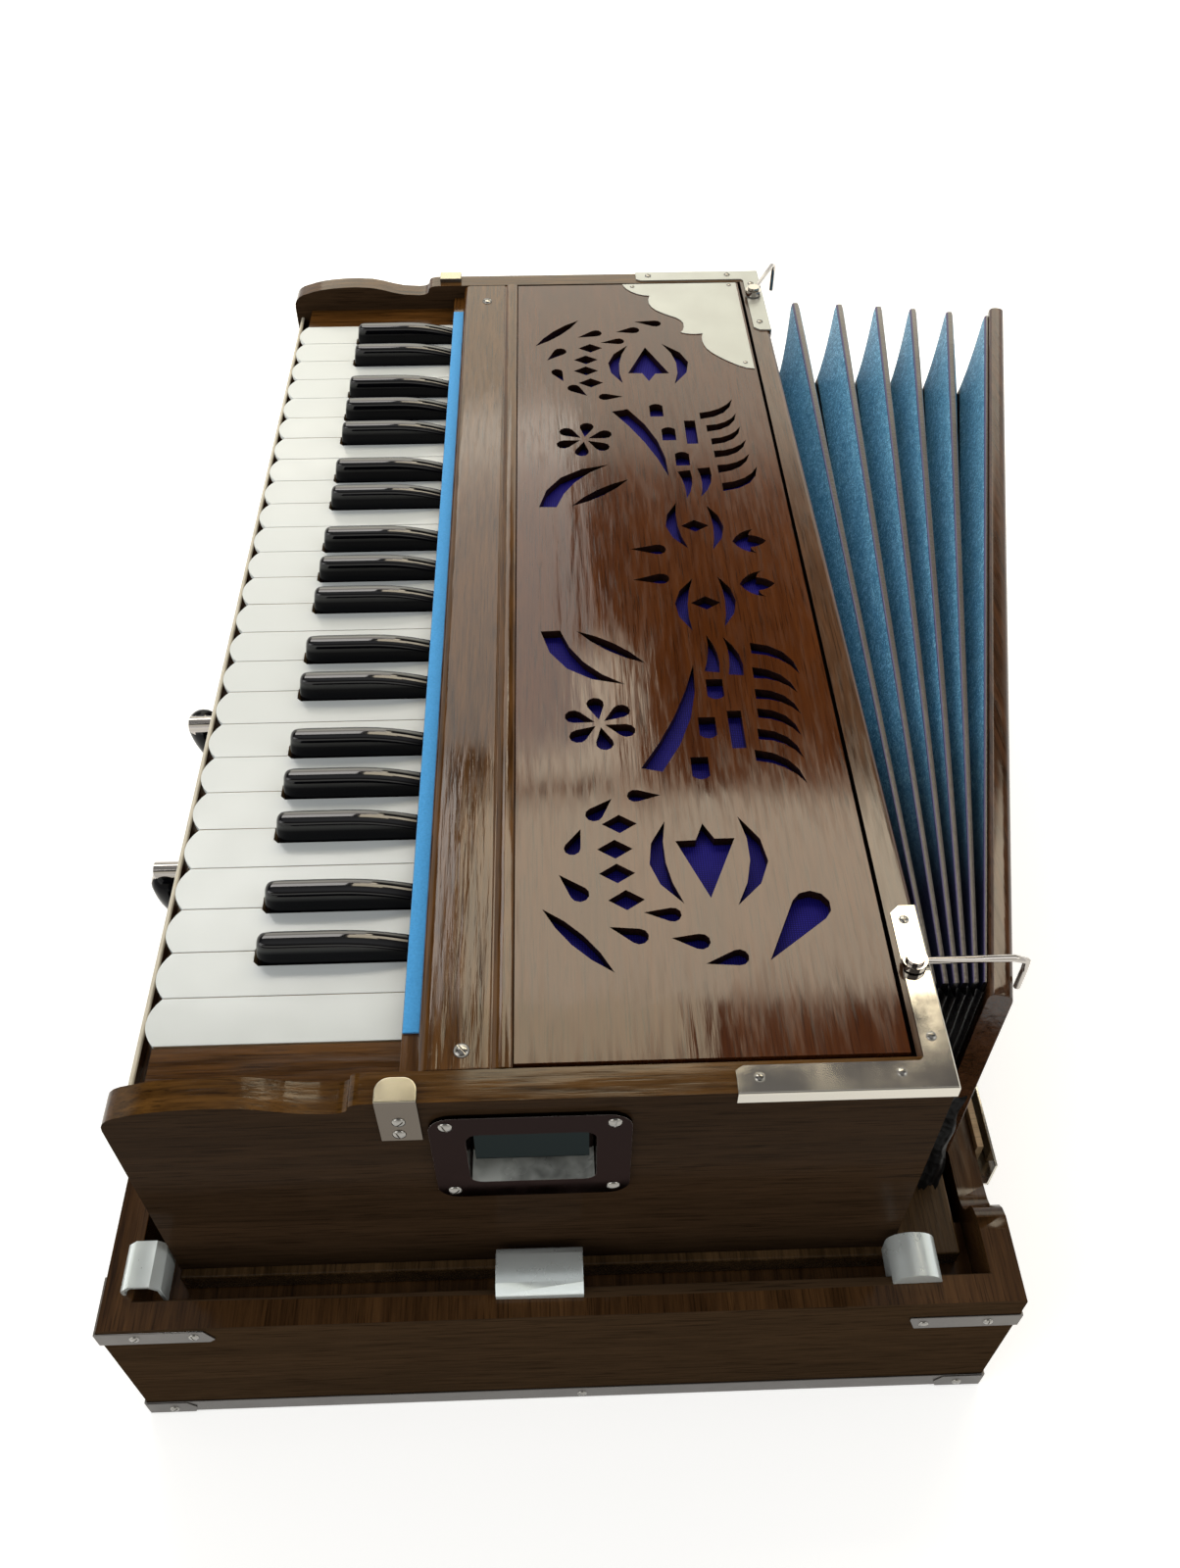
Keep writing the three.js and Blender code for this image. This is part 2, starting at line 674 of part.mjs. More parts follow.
// Cut-work panel. Places are shares of half the panel's length, from the pattern's axis, and of its
// depth, from its front edge. Radii, bows and widths are shares of its depth.
const fretAxisShare = 0.0135;
const nearDropShares = [[0.755, 0.817, 0.842, 0.682, 0.054]];
const dropShares = [
  [0.544, 0.354, 0.544, 0.430, 0.024],
  [0.579, 0.230, 0.549, 0.284, 0.026],
  [0.642, 0.163, 0.606, 0.189, 0.024],
  [0.724, 0.180, 0.689, 0.123, 0.027],
  [0.798, 0.337, 0.781, 0.257, 0.026],
  [0.763, 0.433, 0.758, 0.354, 0.024],
  [0.809, 0.502, 0.802, 0.424, 0.026],
  [0.836, 0.600, 0.845, 0.509, 0.026],
  [0.041, 0.504, 0.043, 0.404, 0.028],
];
const crescentShares = [
  [0.589, 0.648, 0.750, 0.616, 0.086, 0.035],
  [0.595, 0.434, 0.745, 0.468, -0.071, -0.025],
  [0.037, 0.699, 0.170, 0.699, 0.051, 0.014],
  [0.042, 0.612, 0.179, 0.589, -0.060, -0.017],
];
const tulipShares = [
  [0.736, 0.543], [0.630, 0.631], [0.630, 0.573], [0.601, 0.543], [0.632, 0.519], [0.633, 0.460],
];
const diamondShares = [[0.598, 0.302], [0.645, 0.285], [0.689, 0.287], [0.736, 0.309], [0.108, 0.646]];
const diamondSizeShares = [0.070, 0.102];
const leafShares = [
  [0.748, 0.075, 0.855, 0.265, 0.044],
  [0.174, 0.201, 0.256, 0.421, 0.041],
];
const flowerShares = [0.392, 0.262];
const petalShares = { reach: 0.088, head: 0.028, tip: 0.017 };
const petalCount = 6;
const petalTurn = 8;            // degrees
const cellShares = [[0.317, 0.636], [0.403, 0.596], [0.488, 0.558]];
const cellSizeShares = [0.078, 0.054, 0.014];
const barShares = [0.411, 0.685, 0.163, 0.044, 0];
const bladeShares = [
  [0.261, 0.576, 0.497, 0.443, 0.039, 0.489, 0.379, 0.021],
  [0.196, 0.686, 0.290, 0.735, 0.021, 0.287, 0.687, 0.011],
  [0.190, 0.631, 0.282, 0.659, 0.014, 0.278, 0.610, 0.009],
  [0.305, 0.350, 0.172, 0.146, 0.037, 0.173, 0.081, 0.073],
  [0.290, 0.917, 0.212, 0.772, -0.043, 0.238, 0.772, -0.026],
  [0.333, 0.898, 0.271, 0.766, -0.032, 0.297, 0.766, -0.021],
  [0.381, 0.896, 0.322, 0.762, -0.035, 0.345, 0.762, -0.022],
  [0.428, 0.883, 0.366, 0.759, -0.036, 0.387, 0.759, -0.021],
  [0.476, 0.877, 0.411, 0.749, -0.037, 0.434, 0.749, -0.024],
  [0.527, 0.872, 0.456, 0.730, -0.038, 0.479, 0.730, -0.022],
];
const budShares = { place: [0.060, 0.773], width: 0.142, side: 0.085, top: 0.122, notch: 0.062 };
const bowSteps = 4;
const headSteps = 6;

const fretPoint = (along, back) => new THREE.Vector2(along * panelHalf, back * panelDepth);

// Curve from a to b, its middle standing to the left by a share of the panel's depth
function bow(a, b, share) {
  const chord = b.clone().sub(a);
  const rise = new THREE.Vector2(-chord.y, chord.x).normalize().multiplyScalar(2 * share * panelDepth);
  const control = a.clone().add(b).divideScalar(2).add(rise);
  const steps = share === 0 ? 1 : bowSteps;
  return new THREE.QuadraticBezierCurve(a, control, b).getPoints(steps).slice(0, -1);
}

// Round head drawn out to a point
function drop(head, tip, radius) {
  const reach = tip.clone().sub(head);
  const aim = reach.angle();
  const spread = Math.acos(radius / reach.length());
  const points = [tip];
  for (let i = 0; i <= headSteps; i += 1) {
    const angle = aim + spread + (i / headSteps) * 2 * (Math.PI - spread);
    points.push(new THREE.Vector2(Math.cos(angle), Math.sin(angle)).multiplyScalar(radius).add(head));
  }
  return points;
}

function crescent([u0, v0, u1, v1, outer, inner]) {
  const a = fretPoint(u0, v0);
  const b = fretPoint(u1, v1);
  return [...bow(a, b, outer), ...bow(b, a, -inner)];
}

function leaf([u0, v0, u1, v1, width]) {
  const a = fretPoint(u0, v0);
  const b = fretPoint(u1, v1);
  return [...bow(a, b, width / 2), ...bow(b, a, width / 2)];
}

// Curved blade from a point to a square end
function blade([u, v, u0, v0, bow0, u1, v1, bow1]) {
  const tip = fretPoint(u, v);
  const a = fretPoint(u0, v0);
  const b = fretPoint(u1, v1);
  return [...bow(tip, a, bow0), ...bow(a, b, 0), ...bow(b, tip, -bow1)];
}

function diamond([u, v]) {
  const middle = fretPoint(u, v);
  const half = diamondSizeShares.map((share) => (share * panelDepth) / 2);
  return [[-1, 0], [0, -1], [1, 0], [0, 1]].map(([x, y]) => (
    new THREE.Vector2(middle.x + x * half[0], middle.y + y * half[1])));
}

// Four-sided cell whose outer side swells
function cell([u, v, width, height, swell]) {
  const middle = fretPoint(u, v);
  const x = (width * panelDepth) / 2;
  const y = (height * panelDepth) / 2;
  const corner = (i, j) => new THREE.Vector2(middle.x + i * x, middle.y + j * y);
  return [corner(-1, 1), corner(-1, -1), ...bow(corner(1, -1), corner(1, 1), -swell), corner(1, 1)];
}

function petal(index) {
  const angle = THREE.MathUtils.degToRad(petalTurn) + (index / petalCount) * 2 * Math.PI;
  const ray = new THREE.Vector2(Math.cos(angle), Math.sin(angle)).multiplyScalar(panelDepth);
  const middle = fretPoint(...flowerShares);
  const head = ray.clone().multiplyScalar(petalShares.reach).add(middle);
  const tip = ray.clone().multiplyScalar(petalShares.tip).add(middle);
  return drop(head, tip, petalShares.head * panelDepth);
}

// Three-lobed bud in a round cup
function bud() {
  const foot = fretPoint(...budShares.place);
  const at = (x, y) => new THREE.Vector2(foot.x + x * panelDepth, foot.y + y * panelDepth);
  const half = budShares.width / 2;
  const left = at(-half, budShares.side);
  const right = at(half, budShares.side);
  const notchLeft = at(-half / 2, budShares.notch);
  const notchRight = at(half / 2, budShares.notch);
  const swell = budShares.notch / 4;
  return [
    ...bow(left, foot, -swell),
    ...bow(foot, right, -swell),
    ...bow(right, notchRight, swell / 3),
    ...bow(notchRight, at(0, budShares.top), -swell / 2),
    ...bow(at(0, budShares.top), notchLeft, -swell / 2),
    ...bow(notchLeft, left, swell / 3),
  ];
}

function fretMotifs() {
  const dropOf = ([u0, v0, u1, v1, radius]) => (
    drop(fretPoint(u0, v0), fretPoint(u1, v1), radius * panelDepth));
  const paired = [
    ...dropShares.map(dropOf),
    ...crescentShares.map(crescent),
    tulipShares.map(([u, v]) => fretPoint(u, v)),
    ...diamondShares.map(diamond),
    ...leafShares.map(leaf),
    ...Array.from({ length: petalCount }, (_, i) => petal(i)),
    ...cellShares.map((place) => cell([...place, ...cellSizeShares])),
    cell(barShares),
    ...bladeShares.map(blade),
    bud(),
  ];
  const mirrored = paired.map((points) => points.map(({ x, y }) => new THREE.Vector2(-x, y)));
  return [...nearDropShares.map(dropOf), ...paired, ...mirrored];
}

function fretPanel() {
  const panel = block(-panelHalf, panelHalf, panelFront, panelFront + panelDepth, panelFoot, caseTop);
  const axis = fretAxisShare * panelHalf;
  const holes = fretMotifs().map((points) => {
    const outline = points.map(({ x, y }) => new THREE.Vector2(x + axis, y + panelFront));
    return alongZ(new THREE.Shape(outline), panelFoot - overrun, caseTop + overrun);
  });
  return cut(panel, ...holes);
}

function fretCloth() {
  const half = innerHalf - cleatWidth - 2 * seatGap;
  return block(-half, half, beadBack + rebate + seatGap, innerBack - cleatWidth - seatGap,
    cleatTop - clothThickness, cleatTop);
}

// Bellows board in its own frame: the hinge line is the Z axis, the front face lies in Y = 0
function bellowsBoard() {
  const side = new THREE.Shape();
  side.moveTo(0, boardFoot);
  side.lineTo(boardThickness, boardFoot);
  side.lineTo(boardThickness, boardTop - boardRound);
  side.quadraticCurveTo(boardThickness, boardTop, boardThickness - boardRound, boardTop);
  side.lineTo(boardRound, boardTop);
  side.quadraticCurveTo(0, boardTop, 0, boardTop - boardRound);
  const board = alongX(side, boardHeel - boardLength, boardHeel, 3);
  const middleZ = (boardFoot + boardTop) / 2;
  const middleX = boardHeel - boardLength / 2;
  const holes = Array.from({ length: intakeCount }, (_, i) => (
    rodY(middleX + (i - (intakeCount - 1) / 2) * intakePitch, middleZ, intakeHole,
      -overrun, boardThickness + overrun, 14)));
  return cut(board, ...holes);
}

// Bellows folds: one wall lofted over rings that fan out from the near end
function foldRings() {
  const rings = [{ share: 0, depth: 0 }];
  const ridges = [...ridgeShares, 1];
  let last = 0;
  for (const share of ridges) {
    rings.push({ share: (last + share) / 2, depth: pleatDepth }, { share, depth: 0 });
    last = share;
  }
  return rings;
}

function foldRing({ share, depth }, thickness) {
  const reach = boardLength - boardHeel - ridgeInset - depth;
  const far = hingeX - reach * Math.cos(share * fan);
  const near = hingeX - ridgeInset - depth * nearPleatShare;
  const low = boardFoot + ridgeInset + depth;
  const high = boardTop - ridgeInset - depth;
  const spanAt = (x) => closedStack - 2 * seatGap + Math.tan(fan) * (hingeX - x);
  const at = (x, z, inward, up) => {
    const half = spanAt(x) / (2 * (ridgeShares.length + 1));
    const inset = (thickness * Math.hypot(pleatDepth, half)) / half;
    const span = Math.min(share * spanAt(x), spanAt(x + inward * inset));
    return [x + inward * inset, caseBack + seatGap + span, z + up * inset];
  };
  const edge = [];
  for (let i = 0; i <= pleatSteps; i += 1) {
    const x = near + (i / pleatSteps) * (far + ridgeCorner - near);
    edge.push({ x, inward: i === 0 ? -nearPleatShare : 0 });
  }
  return [
    ...edge.map(({ x, inward }) => at(x, low, inward, 1)),
    at(far, low + ridgeCorner, 1, 0),
    at(far, high - ridgeCorner, 1, 0),
    ...edge.reverse().map(({ x, inward }) => at(x, high, inward, -1)),
  ];
}

// Folds as one sheet of card: the inner skin has the creases of the outer one
function bellowsFolds() {
  const rings = foldRings();
  const outer = rings.map((ring) => foldRing(ring, 0));
  const inner = rings.map((ring) => foldRing(ring, pleatWall));
  const loop = [...outer, ...inner.reverse()];
  const corners = outer[0].length;
  const index = [];
  for (let i = 0; i < loop.length; i += 1) {
    const next = (i + 1) % loop.length;
    for (let j = 0; j < corners; j += 1) {
      const k = (j + 1) % corners;
      const [a, b, c, d] = [i * corners + j, i * corners + k, next * corners + k, next * corners + j];
      if (i < outer.length) {
        index.push(a, b, d, b, c, d);
      } else {
        index.push(a, b, c, a, c, d);
      }
    }
  }
  const geometry = new THREE.BufferGeometry();
  geometry.setAttribute('position', new THREE.BufferAttribute(new Float32Array(loop.flat(2)), 3));
  geometry.setIndex(index);
  return solid(geometry);
}

// Wire hook in its own frame: the eye turns on the Z axis, the arm runs along +Y and bends down
function wireHook() {
  const eyeInner = pivotRadius + pivotSlack;
  const eyeOuter = eyeInner + wire;
  const ring = new THREE.Shape();
  ring.absarc(0, 0, eyeOuter, 0, 2 * Math.PI, false);
  const bore = new THREE.Path();
  bore.absarc(0, 0, eyeInner, 0, 2 * Math.PI, true);
  ring.holes.push(bore);
  const eye = alongZ(ring, -wire / 2, wire / 2, 8);
  const path = new THREE.CurvePath();
  const start = new THREE.Vector3(0, eyeInner + wire / 2, 0);
  const bendStart = new THREE.Vector3(0, hookReach - hookBend, 0);
  const corner = new THREE.Vector3(0, hookReach, 0);
  const bendEnd = new THREE.Vector3(0, hookReach, -hookBend);
  const end = new THREE.Vector3(0, hookReach, -hookDrop);
  path.add(new THREE.LineCurve3(start, bendStart));
  path.add(new THREE.QuadraticBezierCurve3(bendStart, corner, bendEnd));
  path.add(new THREE.LineCurve3(bendEnd, end));
  const section = new THREE.Shape();
  section.absarc(0, 0, wire / 2, 0, 2 * Math.PI, false);
  const arm = new THREE.ExtrudeGeometry(section, { steps: hookSteps, extrudePath: path, curveSegments: 4 });
  return joined(eye, solid(arm));
}

// Stop knob in its own frame: the spindle lies on the Y axis, Y = 0 at the front of the case
function stopKnob(turn) {
  const spindle = rodY(0, 0, spindleRadius, -stopStand, spindleLength - stopStand, 16);
  const lean = THREE.MathUtils.degToRad(turn);
  const profile = [];
  for (let i = 0; i <= dropSteps; i += 1) {
    const angle = Math.PI / 2 - (i / dropSteps) * (Math.PI / 2);
    profile.push(new THREE.Vector2(dropRadius * Math.cos(angle), dropRadius * Math.sin(angle)));
  }
  const taper = new THREE.QuadraticBezierCurve(
    new THREE.Vector2(dropRadius, 0),
    new THREE.Vector2(dropRadius, -dropLength / 2),
    new THREE.Vector2(dropTip, -dropLength),
  );
  profile.push(...taper.getPoints(dropSteps).slice(1), new THREE.Vector2(0, -dropLength));
  profile[0].x = 0;
  const ball = new THREE.LatheGeometry(profile.reverse(), 16);
  ball.rotateX(Math.PI / 2);
  ball.translate(-Math.sin(lean) * dropHang, dropInset - stopStand, -Math.cos(lean) * dropHang);
  return joined(spindle, solid(ball));
}

// Rectangle with round corners, in Y and Z about the origin
function roundedPlate(width, height, radius) {
  const x = width / 2;
  const y = height / 2;
  const shape = new THREE.Shape();
  shape.moveTo(-x + radius, -y);
  shape.lineTo(x - radius, -y);
  shape.absarc(x - radius, -y + radius, radius, -Math.PI / 2, 0, false);
  shape.lineTo(x, y - radius);
  shape.absarc(x - radius, y - radius, radius, 0, Math.PI / 2, false);
  shape.lineTo(-x + radius, y);
  shape.absarc(-x + radius, y - radius, radius, Math.PI / 2, Math.PI, false);
  shape.lineTo(-x, -y + radius);
  shape.absarc(-x + radius, -y + radius, radius, Math.PI, (3 * Math.PI) / 2, false);
  return shape;
}

// Handle in its own frame: the cheek's outer face is X = 0, the middle of the dish is the X axis
const gripZ = dishHeight / 2 - dishWall - gripPivotDrop;
const gripX = seatGap + flangeThickness - gripPivotDepth;

function handlePlate() {
  const flange = alongX(roundedPlate(flangeWidth, flangeHeight, flangeCorner),
    seatGap, seatGap + flangeThickness, 4);
  const dish = block(-dishDepth, seatGap + flangeThickness / 2, -dishWidth / 2, dishWidth / 2,
    -dishHeight / 2, dishHeight / 2);
  const hollowWidth = dishWidth - 2 * dishWall;
  const hollowHeight = dishHeight - 2 * dishWall;
  const hollow = alongX(roundedPlate(hollowWidth, hollowHeight, dishCorner),
    -dishDepth + dishWall, seatGap + flangeThickness + overrun, 3);
  const pinReach = gripWidth / 2 - gripBoreDepth + seatGap;
  const pin = rodY(gripX, gripZ, gripBore, pinReach, hollowWidth / 2 + dishWall / 2, 8);
  return joined(cut(joined(flange, dish), hollow), pin, pin.mirror([0, 1, 0]));
}

// Grip in its own frame: it hangs from its pivot, the Y axis
function handleGrip() {
  const half = gripThickness / 2;
  const side = new THREE.Shape();
  side.moveTo(-half, 0);
  side.lineTo(-half, gripBead - gripLength);
  side.absarc(0, gripBead - gripLength, gripBead, Math.PI, 2 * Math.PI, false);
  side.lineTo(half, 0);
  side.absarc(0, 0, half, 0, Math.PI, false);
  const bar = alongY(side, -gripWidth / 2, gripWidth / 2, 5);
  const bore = rodY(0, 0, gripBore + seatGap, gripWidth / 2 - gripBoreDepth, gripWidth / 2 + overrun, 8);
  return cut(bar, bore, bore.mirror([0, 1, 0]));
}

// The whole instrument
const harmonium = new THREE.Group();

function put(name, manifold, finish, place = [0, 0, 0], turn = 0) {
  const made = mesh(name, manifold, finish);
  made.position.set(...place);
  made.rotation.z = turn;
  harmonium.add(made);
}

const { whites, blacks } = keyPlan();
const numbered = (stem, i) => `${stem}_${String(i + 1).padStart(2, '0')}`;
whites.forEach((key, i) => put(numbered('white_key', i), whiteKey(key), ivory, [key.x, keyRoot, keyTop]));
blacks.forEach((key, i) => put(numbered('black_key', i), blackKey(), ebony, [key.x, keyRoot, keyTop]));
put('base_tray', baseTray(), walnut);
put('base_board', baseBoard(), rosewood);
put('case_shell', caseShell(), walnut);
put('reed_board', reedBoard({ whites, blacks }), plainWood);
put('top_strip', topStrip(), rosewood);
put('fret_panel', fretPanel(), rosewood);
put('fret_cloth', fretCloth(), indigo);
put('bellows_board', bellowsBoard(), walnut, [hingeX, hingeY, 0], -fan);
put('bellows_folds', bellowsFolds(), teal);
const hookY = caseBack - hookBack;
const hookZ = caseTop + hookLift + wire / 2;
const parked = THREE.MathUtils.degToRad(farHookPark);
put('near_hook', wireHook(), chrome, [caseHalf - hookInset, hookY, hookZ]);
put('far_hook', wireHook(), chrome, [farHookInset - caseHalf, hookY, hookZ], parked);
stopPlaces.forEach((x, i) => {
  put(`stop_knob_${i + 1}`, stopKnob(stopTurns[i]), ebony, [x, boardFront, keyTop - stopDrop]);
});
const ends = [{ name: 'near', side: 1, turn: 0 }, { name: 'far', side: -1, turn: Math.PI }];
for (const { name, side, turn } of ends) {
  put(`${name}_handle_plate`, handlePlate(), chrome, [side * caseHalf, handleY, handleZ], turn);
  put(`${name}_handle_grip`, handleGrip(), chrome,
    [side * (caseHalf + gripX), handleY, handleZ + gripZ], turn);
}

export default harmonium;
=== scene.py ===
import math

import bmesh
import bpy
from mathutils import Matrix, Vector


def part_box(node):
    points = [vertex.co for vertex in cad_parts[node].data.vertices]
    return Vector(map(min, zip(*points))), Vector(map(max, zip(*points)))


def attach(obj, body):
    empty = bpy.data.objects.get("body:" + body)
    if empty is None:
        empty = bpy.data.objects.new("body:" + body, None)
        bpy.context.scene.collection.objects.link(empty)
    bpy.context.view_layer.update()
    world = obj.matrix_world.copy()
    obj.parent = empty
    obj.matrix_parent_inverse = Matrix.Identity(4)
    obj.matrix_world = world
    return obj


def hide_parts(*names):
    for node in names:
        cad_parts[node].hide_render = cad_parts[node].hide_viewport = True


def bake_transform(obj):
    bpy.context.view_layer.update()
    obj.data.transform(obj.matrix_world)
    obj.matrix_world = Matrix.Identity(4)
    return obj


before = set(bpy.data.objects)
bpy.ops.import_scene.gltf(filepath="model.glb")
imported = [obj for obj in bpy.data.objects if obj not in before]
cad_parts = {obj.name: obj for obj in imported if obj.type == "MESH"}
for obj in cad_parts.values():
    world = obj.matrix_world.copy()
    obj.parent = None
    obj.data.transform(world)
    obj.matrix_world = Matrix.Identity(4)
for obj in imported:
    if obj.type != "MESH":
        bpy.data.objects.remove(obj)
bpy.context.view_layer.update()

mm = 0.001


# The viewpoint: above the treble end of the keyboard, looking down along the keys and the
# cut-work through a wide lens, so that the bass end is small and far. It is placed in metres.
def new_object(name, data):
    made = bpy.data.objects.new(name, data)
    bpy.context.collection.objects.link(made)
    return made


viewpoint = new_object("viewpoint", bpy.data.cameras.new("viewpoint"))
viewpoint.location = (0.5466, 0.0024, 0.6542)
viewpoint.rotation_euler = [math.radians(turn) for turn in (42.277, -0.098, 88.056)]
viewpoint.data.lens = 30.15
viewpoint.data.clip_start = 0.02
bpy.context.scene.camera = viewpoint
bpy.context.scene.view_settings.view_transform = "Standard"


# The studio: a pale floor, a room that is bright up to eye height and dim above it, and soft
# lamps. The skylights and the window are what the glossy top, the panel and the keys mirror, and
# the two fills light the sides. Lamps are placed in metres.
def add(tree, kind, inputs=None, **settings):
    made = tree.nodes.new("ShaderNode" + kind)
    for key, value in settings.items():
        setattr(made, key, value)
    for key, value in (inputs or {}).items():
        if isinstance(value, bpy.types.NodeSocket):
            tree.links.new(value, made.inputs[key])
        else:
            made.inputs[key].default_value = value
    return made


def reckon(tree, how, *values):
    return add(tree, "Math", dict(enumerate(values)), operation=how).outputs[0]


def ramp(tree, factor, stops):
    made = add(tree, "ValToRGB", {"Fac": factor})
    ends = made.color_ramp.elements
    while len(ends) < len(stops):
        ends.new(0.5)
    for end, (place, shade) in zip(ends, stops):
        end.position = place
        end.color = (shade, shade, shade, 1) if isinstance(shade, (int, float)) else (*shade, 1)
    return made.outputs["Color"]


def only(piece):
    bpy.ops.object.select_all(action="DESELECT")
    piece.select_set(True)
    bpy.context.view_layer.objects.active = piece


def new_material(name):
    made = bpy.data.materials.new(name)
    made.use_nodes = True
    made.node_tree.nodes.clear()
    return made, made.node_tree


def surfaced(tree, sockets):
    surface = add(tree, "BsdfPrincipled", sockets)
    add(tree, "OutputMaterial", {"Surface": surface.outputs[0]})


def lamp(name, place, aim, width, depth, power, tint=(1, 1, 1)):
    made = new_object(name, bpy.data.lights.new(name, "AREA"))
    made.location = place
    made.rotation_euler = (Vector(aim) - Vector(place)).to_track_quat("-Z", "Y").to_euler()
    made.data.shape = "RECTANGLE"
    made.data.size = width
    made.data.size_y = depth
    made.data.energy = power
    made.data.color = tint


room = bpy.data.worlds.new("room")
bpy.context.scene.world = room
room.use_nodes = True
room.node_tree.nodes.clear()
direction = add(room.node_tree, "TexCoord").outputs["Generated"]
height = add(room.node_tree, "SeparateXYZ", {0: direction}).outputs["Z"]
room_shades = [
    (0.0, (1, 1, 1)), (0.20, (1, 0.98, 0.95)), (0.53, (1, 0.98, 0.85)), (0.59, (0.14, 0.12, 0.10)),
    (0.66, (0.03, 0.03, 0.03)), (0.84, (0.16, 0.15, 0.15)), (1.0, (0.50, 0.50, 0.50))]
glow = add(room.node_tree, "Background", {
    "Color": ramp(room.node_tree, height, room_shades), "Strength": 0.9})
add(room.node_tree, "OutputWorld", {"Surface": glow.outputs[0]})

floor_span, floor_drop, floor_glow = 14, 0.4 * mm, 0.55
bpy.ops.object.select_all(action="DESELECT")
bpy.ops.mesh.primitive_plane_add(size=floor_span, location=(0, 0, -floor_drop))
floor = bpy.context.active_object
floor.name = "floor"
bpy.ops.object.transform_apply(location=True)
paper, tree = new_material("floor_paper")
ray = add(tree, "LightPath").outputs
seen = reckon(tree, "MAXIMUM", ray["Is Camera Ray"], ray["Is Glossy Ray"])
seen = reckon(tree, "MAXIMUM", seen, ray["Is Transmission Ray"])
surfaced(tree, {"Base Color": (0.80, 0.80, 0.79, 1), "Roughness": 0.9, "Specular IOR Level": 0.0,
                "Emission Color": (1, 1, 1, 1),
                "Emission Strength": reckon(tree, "MULTIPLY", seen, floor_glow)})
floor.data.materials.append(paper)

skylights = [
    ("near_skylight", (-0.84, 0.46, 1.6), (0.44, 1.27), 11.5, (1, 0.88, 0.67)),
    ("far_key_skylight", (-1.80, -0.36, 1.62), (1.2, 0.84), 8.8, (1, 0.94, 0.85)),
    ("near_key_skylight", (-0.92, -0.52, 1.62), (0.56, 0.52), 5.2, (1, 0.97, 0.92)),
    ("small_skylight", (-1.30, 0.03, 1.62), (0.36, 0.24), 2, (1, 0.88, 0.68)),
    ("low_skylight", (-0.56, 0.032, 1.6), (0.155, 0.384), 1.05, (1, 0.88, 0.62))]
for name, place, size, power, tint in skylights:
    lamp(name, place, (*place[:2], 0), *size, power, tint)
lamp("far_window", (-3, 0.3, 1.63), (0, 0.3, 1.52), 2.8, 1.10, 12.5, (1, 0.96, 0.78))
lamp("side_fill", (0.9, -1.5, 1.5), (0, 0, 0.1), 1.4, 1.4, 11)
lamp("back_fill", (0.6, 1.6, 1.7), (0, 0.1, 0.1), 1.2, 1.2, 8)


# Travel tray: stained and lacquered boards with bent aluminium guides on the rim, joined into one
# body. The grain runs along each board with fine dark pores, the lacquer follows it in long low
# waves, and the guides are bare sheet, smeared by hands.
def mixed(tree, factor, a, b, blend="MIX"):
    made = add(tree, "Mix", {0: factor, 6: a, 7: b}, data_type="RGBA", blend_type=blend)
    return made.outputs[2]


def noise(tree, where, scale, detail=3.0, rough=0.55, distortion=0.0):
    made = add(tree, "TexNoise", {"Vector": where, "Scale": scale, "Detail": detail,
               "Roughness": rough, "Distortion": distortion})
    return made.outputs["Fac"]


def stretched(tree, where, stretch, turn=(0, 0, 0)):
    made = add(tree, "Mapping", {"Vector": where, "Rotation": turn, "Scale": stretch})
    return made.outputs["Vector"]


def spread(tree, value, low, high, least=0.0, most=1.0):
    made = add(tree, "MapRange", {"Value": value, "From Min": low, "From Max": high,
               "To Min": least, "To Max": most})
    return made.outputs[0]


def bumped(tree, relief, strength, depth):
    made = add(tree, "Bump", {"Height": relief, "Strength": strength, "Distance": depth})
    return made.outputs[0]


def new_finish(name):
    made, tree = new_material(name)
    return made, tree, add(tree, "TexCoord").outputs["Object"]


def new_group(name, inputs, outputs):
    made = bpy.data.node_groups.new(name, "ShaderNodeTree")
    for label, kind in inputs:
        made.interface.new_socket(label, in_out="INPUT", socket_type="NodeSocket" + kind)
    for label, kind in outputs:
        made.interface.new_socket(label, in_out="OUTPUT", socket_type="NodeSocket" + kind)
    return made, made.nodes.new("NodeGroupInput").outputs, made.nodes.new("NodeGroupOutput").inputs


grain, given, result = new_group(
    "wood_grain",
    [("Along", "Vector"), ("Dark", "Color"), ("Light", "Color"), ("Figure", "Float"),
     ("Shine", "Float")],
    [("Color", "Color"), ("Roughness", "Float"), ("Height", "Float")])
# Each strand has a scale along and across the grain, a detail, a roughness and a bend.
strands = {"broad": (2.2, 26, 4, 0.6, 0.9), "line": (24, 340, 4, 0.65, 0.3),
           "pore": (45, 1300, 2, 0.5, 0), "wave": (13, 110, 2, 0.5, 0.4),
           "streak": (40, 420, 3, 0.6, 0)}
strand = {}
for name, (along, across, detail, rough, bend) in strands.items():
    drawn = stretched(grain, given["Along"], (along, across, across))
    strand[name] = noise(grain, drawn, 1, detail, rough, bend)
figure = spread(grain, reckon(grain, "ADD", strand["broad"], strand["line"]), 0.70, 1.32)
figure = reckon(grain, "MULTIPLY", figure, given["Figure"])
tone = mixed(grain, figure, given["Dark"], given["Light"])
pores = ramp(grain, strand["pore"], [(0.34, 0.45), (0.44, 1.0)])
grain.links.new(mixed(grain, 0.8, tone, pores, "MULTIPLY"), result["Color"])
gloss = reckon(grain, "ADD", spread(grain, strand["broad"], 0.35, 0.7, 0.01, 0.07), given["Shine"])
gloss = reckon(grain, "ADD", gloss, spread(grain, strand["streak"], 0.46, 0.60, 0.0, 0.06))
grain.links.new(gloss, result["Roughness"])
relief = reckon(grain, "MULTIPLY", strand["wave"], 0.7)
relief = reckon(grain, "MULTIPLY_ADD", strand["streak"], 0.10, relief)
